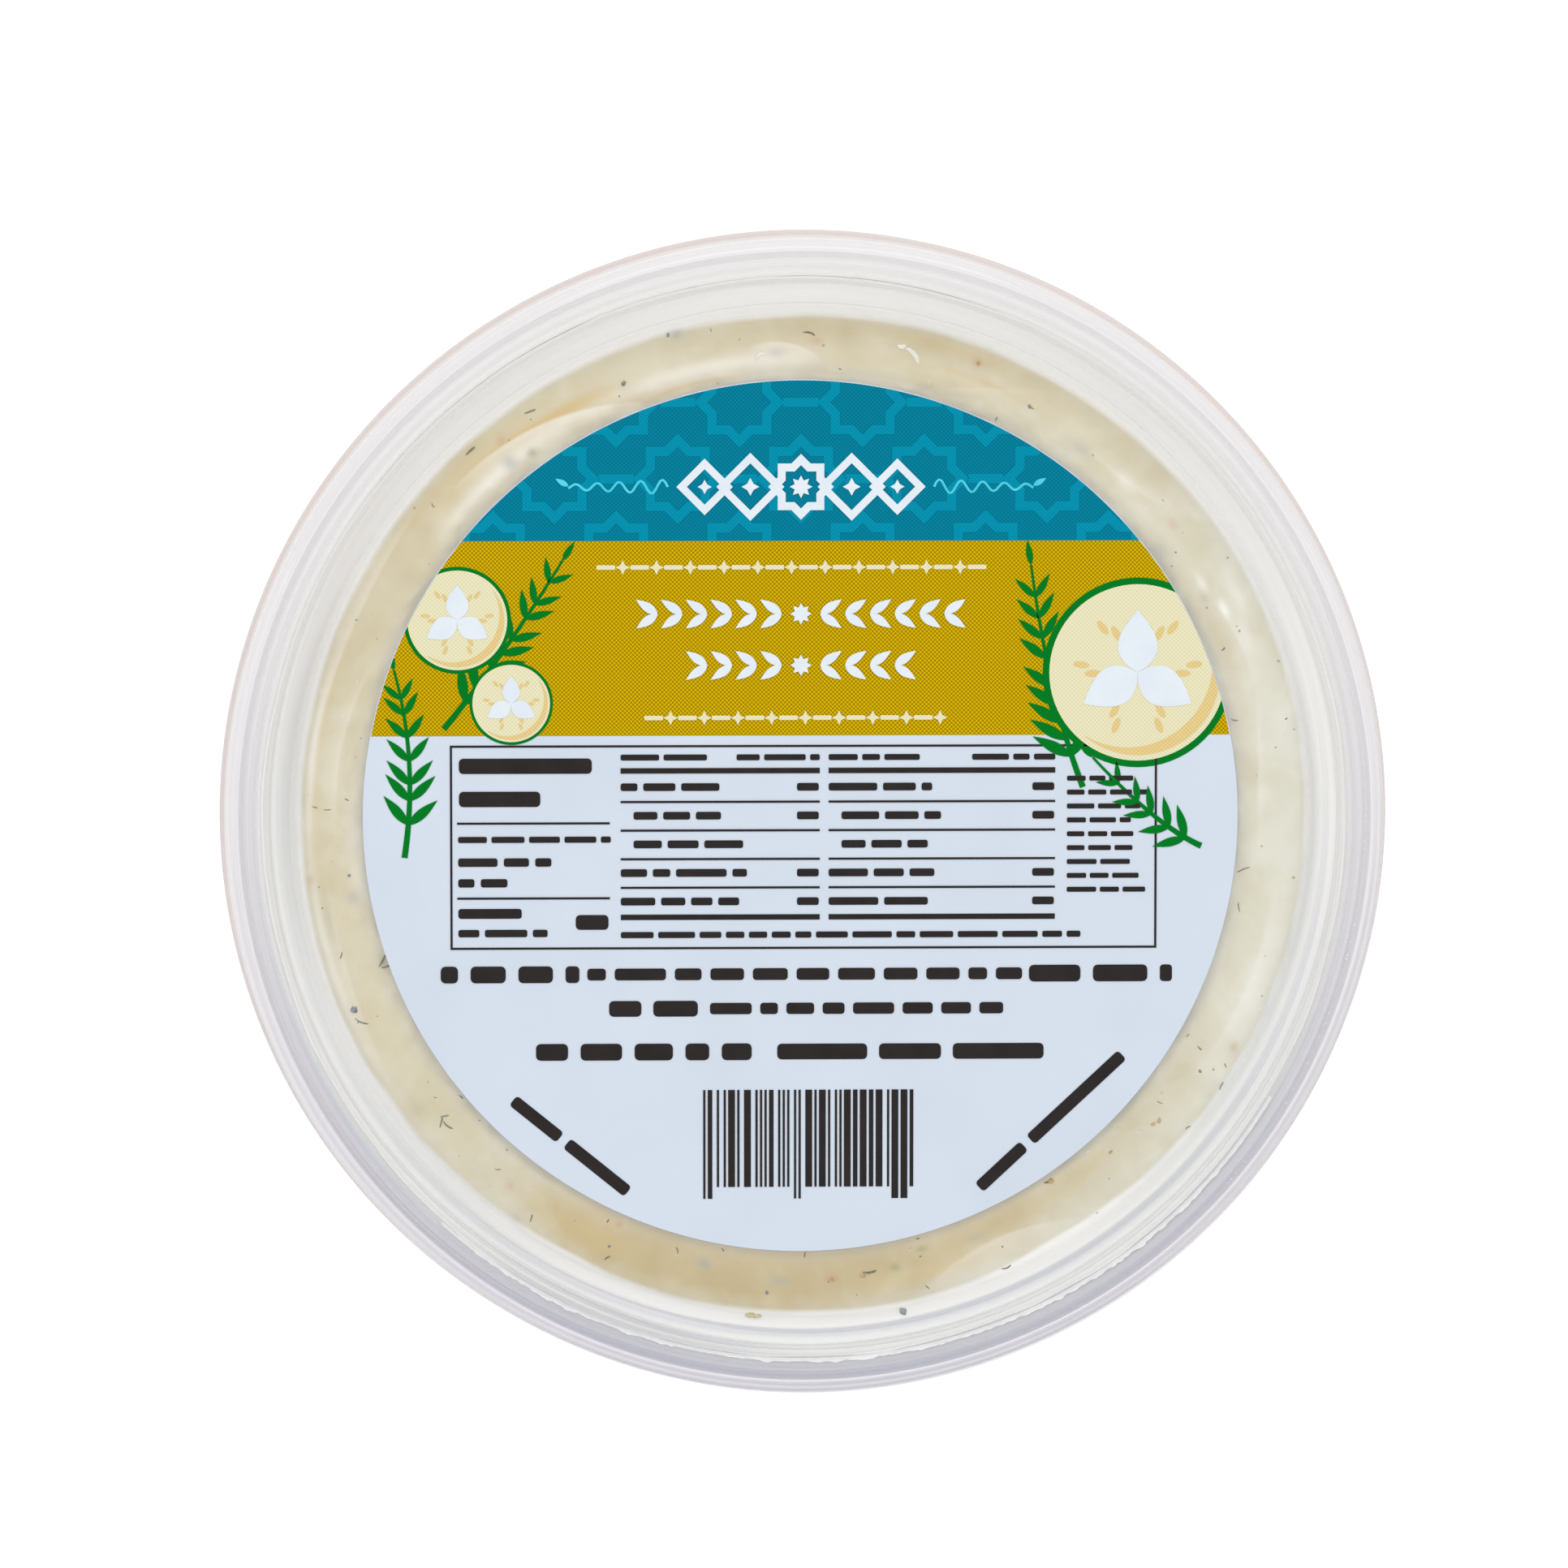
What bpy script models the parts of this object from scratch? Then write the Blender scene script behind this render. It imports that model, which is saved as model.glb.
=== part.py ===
"""A round lidded deli tub of herbed yogurt dip: tub, lid, dip and the round label stuck on the lid.

Units are metres, +Z is up, and the origin is at the middle of the foot that the tub stands on.
The top of the label points to +Y.
"""

import math

import bmesh
import bpy
from mathutils import Vector

MM = 0.001

# Driving dimensions, in millimetres until they are scaled by MM.
LID_RADIUS = 59.2
HEIGHT = 38.1
WALL = 0.7
GAP = 0.3
LABEL_RADIUS = 44.2
LABEL_THICKNESS = 0.2
LABEL_OFF_CENTRE = -0.4

# Lid radii, from the flared end of its skirt inwards.
LID_SKIRT_RADIUS = 58.15
LID_RIM_OUTER = 57.85
LID_RIM_INNER = 54.55
LID_GROOVE_OUTER = 53.45
LID_GROOVE_INNER = 52.05
LID_BEAD_OUTER = 51.6
LID_BEAD_INNER = 51.2
LID_PANEL_RADIUS = 50.7

# Lid heights, from the top of its rim down.
LID_RIM_LINE = HEIGHT - WALL / 2
LID_PANEL_LINE = LID_RIM_LINE - 3.9
LID_GROOVE_LINE = LID_PANEL_LINE - 0.3
LID_BEAD_LINE = LID_PANEL_LINE + 0.5
LID_SKIRT_END = HEIGHT - 7.3
LID_FLARE_HEIGHT = 1.2

# Tub radii, from its turned-down lip inwards.
TUB_LIP_RADIUS = 56.75
TUB_RIM_INNER = 55.35
TUB_NECK_RADIUS = 54.8
TUB_WALL_TOP_RADIUS = 52.2
FOOT_RADIUS = 43.9
FOOT_INNER_RADIUS = FOOT_RADIUS - 3.2
FLOOR_RADIUS = FOOT_RADIUS - 4.0

# Tub heights, from its rim down to its foot.
TUB_RIM_LINE = LID_RIM_LINE - WALL - 0.35
TUB_LIP_END = TUB_RIM_LINE - 1.9
TUB_SHOULDER_LINE = HEIGHT - 6.3
TUB_WALL_TOP_LINE = TUB_SHOULDER_LINE - 0.7
TUB_FOOT_LINE = WALL / 2
TUB_FLOOR_LINE = TUB_FOOT_LINE + 1.9

# Dip: a plateau that touches the lid's panel, and a slope down to the wall.
DIP_CLEAR = WALL / 2 + GAP
DIP_TOP = LID_PANEL_LINE - DIP_CLEAR
DIP_PLATEAU_RADIUS = 49.0
DIP_EDGE_DROP = 1.1
DIP_EDGE_CURVE = 1.5
DIP_EDGE_STEP = 0.2

# Spatula marks in the dip: bearing in degrees from +X, radius, half length in degrees, half width, depth.
SMEARS = (
    (128, 47.2, 20, 1.3, 0.7),
    (121, 44.9, 15, 0.8, 0.4),
    (88, 45.6, 11, 1.0, 0.5),
    (64, 46.8, 9, 1.1, 0.4),
    (22, 46.5, 10, 1.6, 0.5),
    (182, 48.0, 14, 1.2, 0.4),
    (262, 49.2, 26, 1.0, 0.5),
    (318, 48.8, 16, 1.2, 0.4),
)

# Mesh: steps around a turned piece, rings on the dip's top, and how they crowd towards its edge.
SEGMENTS = 56
DIP_TOP_RINGS = 13
RING_CROWDING = 1.6
FILLET = 0.6
WIDE_FILLET_STEPS = 2
SHARPEST_MITRE = 0.4
MERGE_DISTANCE = 1e-6
SHARP_ANGLE = math.radians(35)


def rounded(corners):
    """Points along a line of (radius, height, fillet) corners, with each fillet drawn as an arc."""
    line = []
    for index, (x, y, fillet) in enumerate(corners):
        here = Vector((x, y))
        if fillet == 0 or index in (0, len(corners) - 1):
            line.append(here)
            continue
        before = (Vector(corners[index - 1][:2]) - here).normalized()
        after = (Vector(corners[index + 1][:2]) - here).normalized()
        half = before.angle(after) / 2
        centre = here + (before + after).normalized() * (fillet / math.sin(half))
        start = here + before * (fillet / math.tan(half)) - centre
        sweep = start.angle_signed(here + after * (fillet / math.tan(half)) - centre)
        steps = 1 if fillet <= FILLET else WIDE_FILLET_STEPS
        for step in range(steps + 1):
            turn = -sweep * step / steps
            cosine, sine = math.cos(turn), math.sin(turn)
            line.append(centre + Vector((start.x * cosine - start.y * sine, start.x * sine + start.y * cosine)))
    return line


def shifted(line, distance):
    """The line moved sideways by distance, to its left as it runs, with its ends moved straight."""
    moved = []
    for index, here in enumerate(line):
        into = (here - line[index - 1]).normalized() if index > 0 else None
        out = (line[index + 1] - here).normalized() if index < len(line) - 1 else None
        into, out = into or out, out or into
        bisector = (into + out).normalized()
        left = Vector((-bisector.y, bisector.x))
        mitre = max(SHARPEST_MITRE, left.dot(Vector((-into.y, into.x))))
        moved.append(here + left * (distance / mitre))
    return moved


def moulded(line):
    """Closed outline of a wall of even thickness around a centre line that ends on the axis."""
    outer = shifted(line, -WALL / 2)
    inner = shifted(line, WALL / 2)
    for side in (outer, inner):
        side[-1].x = 0
    return outer[::-1] + inner


def turned(name, outline, material):
    """A solid turned around Z from an outline, in millimetres, whose two ends lie on the axis."""
    shape = bmesh.new()
    points = [shape.verts.new((p.x * MM, 0, p.y * MM)) for p in outline]
    edges = [shape.edges.new(pair) for pair in zip(points, points[1:])]
    bmesh.ops.spin(
        shape,
        geom=points + edges,
        cent=(0, 0, 0),
        axis=(0, 0, 1),
        angle=math.tau,
        steps=SEGMENTS,
        use_merge=True,
    )
    bmesh.ops.remove_doubles(shape, verts=shape.verts, dist=MERGE_DISTANCE)
    bmesh.ops.recalc_face_normals(shape, faces=shape.faces)
    mesh = bpy.data.meshes.new(name)
    shape.to_mesh(mesh)
    shape.free()
    mesh.shade_smooth()
    mesh.set_sharp_from_angle(angle=SHARP_ANGLE)
    mesh.materials.append(material)
    solid = bpy.data.objects.new(name, mesh)
    bpy.context.scene.collection.objects.link(solid)
    return solid


def finish(name, colour, roughness, alpha=1.0):
    """A Principled material with a plain colour."""
    material = bpy.data.materials.new(name)
    material.use_nodes = True
    shader = material.node_tree.nodes["Principled BSDF"]
    shader.inputs["Base Color"].default_value = (*colour, 1.0)
    shader.inputs["Roughness"].default_value = roughness
    shader.inputs["Metallic"].default_value = 0.0
    shader.inputs["Alpha"].default_value = alpha
    return material


def tub_line():
    """Centre line of the tub's wall, from the rim's turned-down lip to the middle of its floor."""
    return rounded(
        [
            (TUB_LIP_RADIUS, TUB_LIP_END, 0),
            (TUB_LIP_RADIUS, TUB_RIM_LINE, FILLET),
            (TUB_RIM_INNER, TUB_RIM_LINE, FILLET),
            (TUB_NECK_RADIUS, TUB_SHOULDER_LINE, FILLET),
            (TUB_WALL_TOP_RADIUS, TUB_WALL_TOP_LINE, FILLET),
            (FOOT_RADIUS, TUB_FOOT_LINE, 1.6),
            (FOOT_INNER_RADIUS, TUB_FOOT_LINE, FILLET),
            (FLOOR_RADIUS, TUB_FLOOR_LINE, FILLET),
            (0, TUB_FLOOR_LINE, 0),
        ]
    )


def lid_line():
    """Centre line of the lid's wall, from the flared end of its skirt to the middle of its panel."""
    return rounded(
        [
            (LID_RADIUS - WALL / 2, LID_SKIRT_END, 0),
            (LID_SKIRT_RADIUS, LID_SKIRT_END + LID_FLARE_HEIGHT, FILLET),
            (LID_RIM_OUTER, LID_RIM_LINE, 1.1),
            (LID_RIM_INNER, LID_RIM_LINE, 0.8),
            (LID_GROOVE_OUTER, LID_GROOVE_LINE, FILLET),
            (LID_GROOVE_INNER, LID_GROOVE_LINE, FILLET / 2),
            (LID_BEAD_OUTER, LID_BEAD_LINE, 0),
            (LID_BEAD_INNER, LID_BEAD_LINE, 0),
            (LID_PANEL_RADIUS, LID_PANEL_LINE, 0),
            (0, LID_PANEL_LINE, 0),
        ]
    )


def smear_depth(x, y):
    """How far the dip's top lies below its plateau at a point, from the spatula marks there."""
    radius = math.hypot(x, y)
    bearing = math.degrees(math.atan2(y, x))
    depth = 0.0
    for middle, ring, half_length, half_width, deepest in SMEARS:
        along = ((bearing - middle + 180) % 360 - 180) / half_length
        across = (radius - ring) / half_width
        depth += deepest * math.exp(-(along**2) - across**2)
    return depth


def dip_outline():
    """Half section of the dip: its top from the middle out, its side against the wall, and its foot."""
    wall = shifted(tub_line(), -DIP_CLEAR)
    side = [point for point in wall if point.y < DIP_TOP - DIP_EDGE_DROP - DIP_EDGE_STEP]
    side[-1].x = 0
    rim = side[0].x
    top = []
    for ring in range(DIP_TOP_RINGS):
        share = 1 - (1 - ring / (DIP_TOP_RINGS - 1)) ** RING_CROWDING
        radius = rim * share
        edge = max(0.0, (radius - DIP_PLATEAU_RADIUS) / (rim - DIP_PLATEAU_RADIUS))
        top.append(Vector((radius, DIP_TOP - DIP_EDGE_DROP * edge**DIP_EDGE_CURVE)))
    return top + side


def make_dip(material):
    """The dip, with the spatula marks pressed into its top."""
    dip = turned("dip", dip_outline(), material)
    lowest_top = (DIP_TOP - DIP_EDGE_DROP) * MM
    for vertex in dip.data.vertices:
        if vertex.co.z > lowest_top - GAP * MM:
            vertex.co.z -= smear_depth(vertex.co.x / MM, vertex.co.y / MM) * MM
    return dip


def make_label(material):
    """The round label, a thin disc that lies on the lid's panel, stuck on a little off its middle along X."""
    foot = LID_PANEL_LINE + WALL / 2 + GAP
    head = foot + LABEL_THICKNESS
    outline = [Vector((0, head)), Vector((LABEL_RADIUS, head)), Vector((LABEL_RADIUS, foot)), Vector((0, foot))]
    label = turned("label", outline, material)
    label.location.x = LABEL_OFF_CENTRE * MM
    return label


def main():
    for old in list(bpy.data.objects):
        bpy.data.objects.remove(old)
    clear_plastic = finish("tub_plastic", (0.86, 0.86, 0.88), 0.2, alpha=0.4)
    lid_plastic = finish("lid_plastic", (0.86, 0.86, 0.88), 0.15, alpha=0.35)
    yogurt = finish("yogurt_dip", (0.76, 0.70, 0.49), 0.45)
    paper = finish("label_paper", (0.70, 0.77, 0.86), 0.35)
    pieces = [
        turned("tub", moulded(tub_line()), clear_plastic),
        make_dip(yogurt),
        turned("lid", moulded(lid_line()), lid_plastic),
        make_label(paper),
    ]
    stand = bpy.data.objects.new("dip_tub", None)
    bpy.context.scene.collection.objects.link(stand)
    for piece in pieces:
        piece.parent = stand


main()
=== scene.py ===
"""The looks of a closed deli tub of dill and garlic yogurt dip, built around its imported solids.

Lengths are in millimetres until a mesh is made. Bearings are in degrees from +X towards +Y, the label's top.
"""

import math
import random

import bmesh
import bpy
import numpy as np
from mathutils import Matrix, Vector, noise


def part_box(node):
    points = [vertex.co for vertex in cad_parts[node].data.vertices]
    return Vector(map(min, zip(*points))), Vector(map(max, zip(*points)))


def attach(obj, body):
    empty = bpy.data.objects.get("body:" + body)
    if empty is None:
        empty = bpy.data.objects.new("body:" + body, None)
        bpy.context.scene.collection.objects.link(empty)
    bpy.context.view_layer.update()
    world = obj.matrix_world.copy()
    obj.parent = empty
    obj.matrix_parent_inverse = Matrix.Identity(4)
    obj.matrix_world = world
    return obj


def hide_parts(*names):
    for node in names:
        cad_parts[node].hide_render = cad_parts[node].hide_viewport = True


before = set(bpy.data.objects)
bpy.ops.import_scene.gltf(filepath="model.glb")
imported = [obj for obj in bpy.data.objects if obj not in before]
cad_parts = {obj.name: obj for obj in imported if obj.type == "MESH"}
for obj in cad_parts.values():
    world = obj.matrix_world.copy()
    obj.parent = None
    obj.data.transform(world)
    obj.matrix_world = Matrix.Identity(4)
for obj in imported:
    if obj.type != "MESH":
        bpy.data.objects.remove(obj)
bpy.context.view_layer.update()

MM = 0.001

# Heights and radii read from the frame.
LID_LOW, LID_HIGH = (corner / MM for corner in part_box("lid"))
LABEL_LOW, LABEL_HIGH = (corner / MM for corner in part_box("label"))
TUB_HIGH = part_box("tub")[1] / MM
DIP_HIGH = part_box("dip")[1] / MM
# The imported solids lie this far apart, and their plastic is this thick.
GAP = 0.3
WALL = 0.7
LID_RADIUS = LID_HIGH.x
LID_END = LID_LOW.z
RIM_TOP = LID_HIGH.z
PANEL_TOP = LABEL_LOW.z - GAP
PANEL_UNDER = DIP_HIGH.z + GAP
LABEL_RADIUS = (LABEL_HIGH.x - LABEL_LOW.x) / 2
LABEL_X = (LABEL_LOW.x + LABEL_HIGH.x) / 2

# Lid section.
RIM_INNER = 54.2
RIM_OUTER = 58.25
SKIRT_RADIUS = RIM_OUTER + 0.25
GROOVE_OUTER = 53.15
GROOVE_INNER = 52.35
GROOVE_TOP = PANEL_TOP - 0.3
GROOVE_UNDER = GROOVE_TOP - 0.6
BEAD_OUTER = 51.9
BEAD_INNER = 51.0
BEAD_TOP = PANEL_TOP + 0.5
LID_WALL = 0.55

# Tub section, on the middle of its wall.
TUB_LIP_RADIUS = TUB_HIGH.x - WALL / 2
TUB_RIM_LINE = TUB_HIGH.z - WALL / 2
TUB_LIP_END = TUB_RIM_LINE - 1.9
TUB_RIM_INNER = 55.35
TUB_NECK_RADIUS = 54.8
TUB_SHOULDER_LINE = RIM_TOP - 6.3
TUB_WALL_TOP_RADIUS = 52.2
TUB_WALL_TOP_LINE = TUB_SHOULDER_LINE - 0.7
FOOT_RADIUS = 43.9
FOOT_INNER_RADIUS = FOOT_RADIUS - 3.2
FLOOR_RADIUS = FOOT_RADIUS - 4.0
FOOT_LINE = WALL / 2
FLOOR_LINE = FOOT_LINE + 1.9
FILLET = 0.6

# Flow marks in the moulded plastic: how many lie in a millimetre of radius, how slowly they change along X
# and Y, how much they thin or thicken the haze, and the haze and tone of the darker streaks among them, which
# show only in the painted shade towards the label's foot.
FLOW_MARKS_PER_MM = (2.6, 0.012, 0.012)
FLOW_SWING = 0.2
STREAK_HAZE = 0.2
STREAK_TONE = "#BEC2CF"

# Haze and tone of the lid and tub, by radius: the panel is thin and clear, the steps and the rim are milky.
# Each is given at the label's top, where painted light and painted highlight lines on the rim make it
# lighter, and at its foot, where painted shade makes it greyer and hazier, as light falls from the label's
# top.
LID_HAZE_TOP = (
    (49.9, 0.08),
    (50.7, 0.1),
    (51.0, 0.26),
    (51.3, 0.15),
    (51.75, 0.13),
    (51.88, 0.3),
    (52.0, 0.09),
    (53.0, 0.08),
    (53.75, 0.09),
    (53.87, 0.3),
    (54.0, 0.07),
    (54.5, 0.09),
    (55.6, 0.24),
    (56.1, 0.36),
    (56.6, 0.28),
    (57.0, 0.46),
    (57.5, 0.6),
    (58.4, 0.5),
    (59.0, 0.5),
)
LID_TONE_TOP = (
    (50.6, "#F3F2F1"),
    (51.0, "#E8E5E1"),
    (51.6, "#E8E5E1"),
    (51.75, "#FCFBFA"),
    (51.88, "#DDD8D4"),
    (52.0, "#FCFBFA"),
    (53.75, "#FCFCFF"),
    (53.87, "#E0DFDA"),
    (54.0, "#FCFCFF"),
    (54.6, "#F0EEEE"),
    (55.5, "#F6F4F4"),
    (56.4, "#F8F6F6"),
    (57.2, "#E2DFE0"),
    (58.0, "#E0DDDF"),
    (58.25, "#DEDBDC"),
    (58.5, "#DCD7D8"),
    (58.66, "#CDBBB5"),
    (58.85, "#CBBBB5"),
    (59.0, "#D4C6C1"),
)
# The foot's stops, greyer and hazier than the top's: painted shade.
LID_HAZE_SHADED = (
    (49.9, 0.09),
    (50.9, 0.1),
    (51.1, 0.2),
    (51.3, 0.15),
    (52.5, 0.1),
    (52.68, 0.17),
    (52.84, 0.13),
    (52.95, 0.22),
    (53.1, 0.19),
    (53.3, 0.16),
    (53.68, 0.18),
    (53.83, 0.55),
    (54.02, 0.2),
    (55.1, 0.16),
    (55.6, 0.24),
    (56.6, 0.28),
    (57.0, 0.5),
    (57.5, 0.7),
    (57.9, 0.6),
    (58.1, 0.42),
    (59.0, 0.5),
)
LID_TONE_SHADED = (
    (50.6, "#F3F3F3"),
    (51.0, "#E5E5E4"),
    (51.6, "#E5E5E4"),
    (51.9, "#FEFEFF"),
    (52.5, "#FEFEFF"),
    (52.68, "#CBCFDC"),
    (53.1, "#D4D7E2"),
    (53.3, "#FCFDFF"),
    (53.72, "#FCFDFF"),
    (53.85, "#B4B6C0"),
    (54.0, "#FDFEFF"),
    (55.1, "#FDFEFF"),
    (55.6, "#EDECF0"),
    (56.6, "#E4E1E7"),
    (57.3, "#D4D1DA"),
    (57.7, "#D4D1D9"),
    (58.0, "#E4E2E6"),
    (58.6, "#EFEBEC"),
    (58.8, "#C6B5B1"),
    (59.0, "#C3B2AE"),
)
TUB_HAZE_TOP = (
    (51.5, 0.28),
    (53.6, 0.36),
    (54.4, 0.2),
    (55.1, 0.26),
    (55.5, 0.46),
    (57.0, 0.42),
)
TUB_TONE_TOP = (
    (50.0, "#DCDADC"),
    (55.0, "#DDDBDC"),
    (55.5, "#CDC9CA"),
)
# The foot's stops, greyer, lilac and hazier than the top's: painted shade.
TUB_HAZE_SHADED = (
    (51.5, 0.28),
    (53.0, 0.5),
    (53.6, 0.5),
    (54.4, 0.3),
    (55.1, 0.4),
    (55.5, 0.64),
    (57.0, 0.6),
)
TUB_TONE_SHADED = (
    (51.5, "#DCDADC"),
    (53.0, "#ABA8B6"),
    (54.4, "#AEABBA"),
    (55.5, "#9A96AA"),
)
# Between these heights on the label the plastic goes from its top stops to its foot stops: painted shade that
# deepens towards the foot.
PAINTED_SHADE_FROM = 50.0
PAINTED_SHADE_TO = -75.0

# How far the dip reaches into the plastic, so that no air shows between them.
DIP_REACH = 0.08

# Turned pieces: steps around, turn of one step of a fillet, what counts as a sharp corner, the sharpest mitre
# of a wall, and what counts as on the axis.
TURN_STEPS = 288
ARC_STEP = math.radians(14)
SHARP_ANGLE = math.radians(38)
SHARPEST_MITRE = 0.5
ON_AXIS = 1e-4
SEED = 11


def linear(hex_colour):
    """An sRGB hex colour as linear red, green, blue and full alpha."""
    channels = [int(hex_colour[place : place + 2], 16) / 255 for place in (1, 3, 5)]
    bent = [c / 12.92 if c <= 0.04045 else ((c + 0.055) / 1.055) ** 2.4 for c in channels]
    return (*bent, 1.0)


def add(tree, kind, inputs=None, stops=None, **settings):
    """Adds a node with its settings, its inputs and, for a colour ramp, its stops."""
    made = tree.nodes.new(kind)
    for name, value in settings.items():
        setattr(made, name, value)
    fill(tree, made, inputs or {})
    if stops:
        elements = made.color_ramp.elements
        while len(elements) < len(stops):
            elements.new(1.0)
        for element, (place, colour) in zip(elements, stops):
            element.position = place
            element.color = linear(colour) if isinstance(colour, str) else (colour, colour, colour, 1.0)
    return made


def fill(tree, node, inputs):
    """Sets a node's inputs, by name or number, or links them to a socket or a node's first output."""
    for place, value in inputs.items():
        if isinstance(value, bpy.types.Node):
            value = value.outputs[0]
        if isinstance(value, bpy.types.NodeSocket):
            tree.links.new(value, node.inputs[place])
        else:
            node.inputs[place].default_value = linear(value) if isinstance(value, str) else value


def new_material(name):
    """An empty material: itself, its node tree, its Principled shader and its position in metres."""
    made = bpy.data.materials.new(name)
    made.use_nodes = True
    tree = made.node_tree
    place = add(tree, "ShaderNodeTexCoord").outputs["Object"]
    return made, tree, tree.nodes["Principled BSDF"], place


# Where the rings of haze and tone start, inside the lid's bead, and how wide they are together.
RING_START = 49.6
RING_SPAN = LID_RADIUS - RING_START


def ring_stops(stops):
    """Colour stops given by radius in millimetres, turned into shares of the ring's width."""
    return [((radius - RING_START) / RING_SPAN, value) for radius, value in stops]


def per_metre(size):
    """The scale of a pattern whose marks have a size in millimetres."""
    return 1 / (size * MM)


def moulded_polypropylene(name, haze, tone, shaded_haze, shaded_tone, roughness):
    """Injection-moulded polypropylene: clear but a little milky, so that each wall veils what is behind it.

    Haze and tone are stops by radius, as thin and thick stretches veil unlike, at the label's top and at its
    foot; towards the foot it grows greyer and hazier, which is painted shade. Drawn-out flow marks run round
    the steps and the rim as fine rings, with darker streaks on the steps that show only in that painted
    shade, and they break up its reflections a little. The panel and the side are plain.
    """
    made, tree, shader, place = new_material(name)
    flat = add(tree, "ShaderNodeVectorMath", {0: place, 1: (1 / MM, 1 / MM, 0)}, operation="MULTIPLY")
    x, y, _ = add(tree, "ShaderNodeSeparateXYZ", {0: flat}).outputs
    radius = add(tree, "ShaderNodeVectorMath", {0: flat}, operation="LENGTH").outputs["Value"]
    share = add(tree, "ShaderNodeMapRange", {"Value": radius, "From Min": RING_START, "From Max": LID_RADIUS})
    # Painted shade: from the label's top to its foot the plastic is mixed from its top stops to its greyer,
    # hazier foot stops.
    foot = add(
        tree,
        "ShaderNodeMapRange",
        {"Value": y, "From Min": PAINTED_SHADE_FROM, "From Max": PAINTED_SHADE_TO},
        interpolation_type="SMOOTHSTEP",
    )
    veils, tints = (
        [add(tree, "ShaderNodeValToRGB", {0: share}, stops=ring_stops(stops)) for stops in pair]
        for pair in ((haze, shaded_haze), (tone, shaded_tone))
    )
    veil, tint = (
        add(tree, "ShaderNodeMix", {0: foot, 6: top, 7: low}, data_type="RGBA").outputs[2]
        for top, low in (veils, tints)
    )
    ring = add(tree, "ShaderNodeCombineXYZ", {0: radius, 1: x, 2: y})
    drawn = add(tree, "ShaderNodeVectorMath", {0: ring, 1: FLOW_MARKS_PER_MM}, operation="MULTIPLY")
    flow = add(tree, "ShaderNodeTexNoise", {"Vector": drawn, "Scale": 1.0, "Detail": 1.0})
    onto_steps = {"Value": radius, "From Min": BEAD_OUTER, "From Max": GROOVE_INNER}
    steps = add(tree, "ShaderNodeMapRange", onto_steps)
    drift = add(
        tree,
        "ShaderNodeMapRange",
        {"Value": flow, "From Min": 0.3, "From Max": 0.7, "To Min": -FLOW_SWING, "To Max": FLOW_SWING},
    )
    swing = add(tree, "ShaderNodeMath", {0: drift, 1: steps, 2: 1.0}, operation="MULTIPLY_ADD")
    gaps = add(tree, "ShaderNodeMapRange", {"Value": flow, "From Min": 0.42, "From Max": 0.34})
    # The darker streaks show only in that painted shade towards the foot.
    flow_gaps_in_shade = add(tree, "ShaderNodeMath", {0: gaps, 1: foot}, operation="MULTIPLY")
    flow_streaks_in_shade = add(tree, "ShaderNodeMath", {0: flow_gaps_in_shade, 1: steps}, operation="MULTIPLY")
    streak = add(tree, "ShaderNodeMath", {0: flow_streaks_in_shade, 1: STREAK_HAZE}, operation="MULTIPLY")
    tint = add(tree, "ShaderNodeMix", {0: flow_streaks_in_shade, 6: tint, 7: STREAK_TONE}, data_type="RGBA").outputs[2]
    alpha = add(tree, "ShaderNodeMath", {0: veil, 1: swing, 2: streak}, operation="MULTIPLY_ADD")
    ripple = add(tree, "ShaderNodeMath", {0: flow, 1: steps}, operation="MULTIPLY")
    bump = add(tree, "ShaderNodeBump", {"Height": ripple, "Strength": 0.1, "Distance": 0.03 * MM})
    fill(tree, shader, {"Base Color": tint, "Alpha": alpha, "Normal": bump})
    fill(tree, shader, {"Roughness": roughness, "IOR": 1.49})
    return made


# Sizes in the yogurt: its soft patches of paler and creamier tone, and its curds.
YOGURT_CLOUD = 6.667
YOGURT_CURD = 1.111


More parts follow.
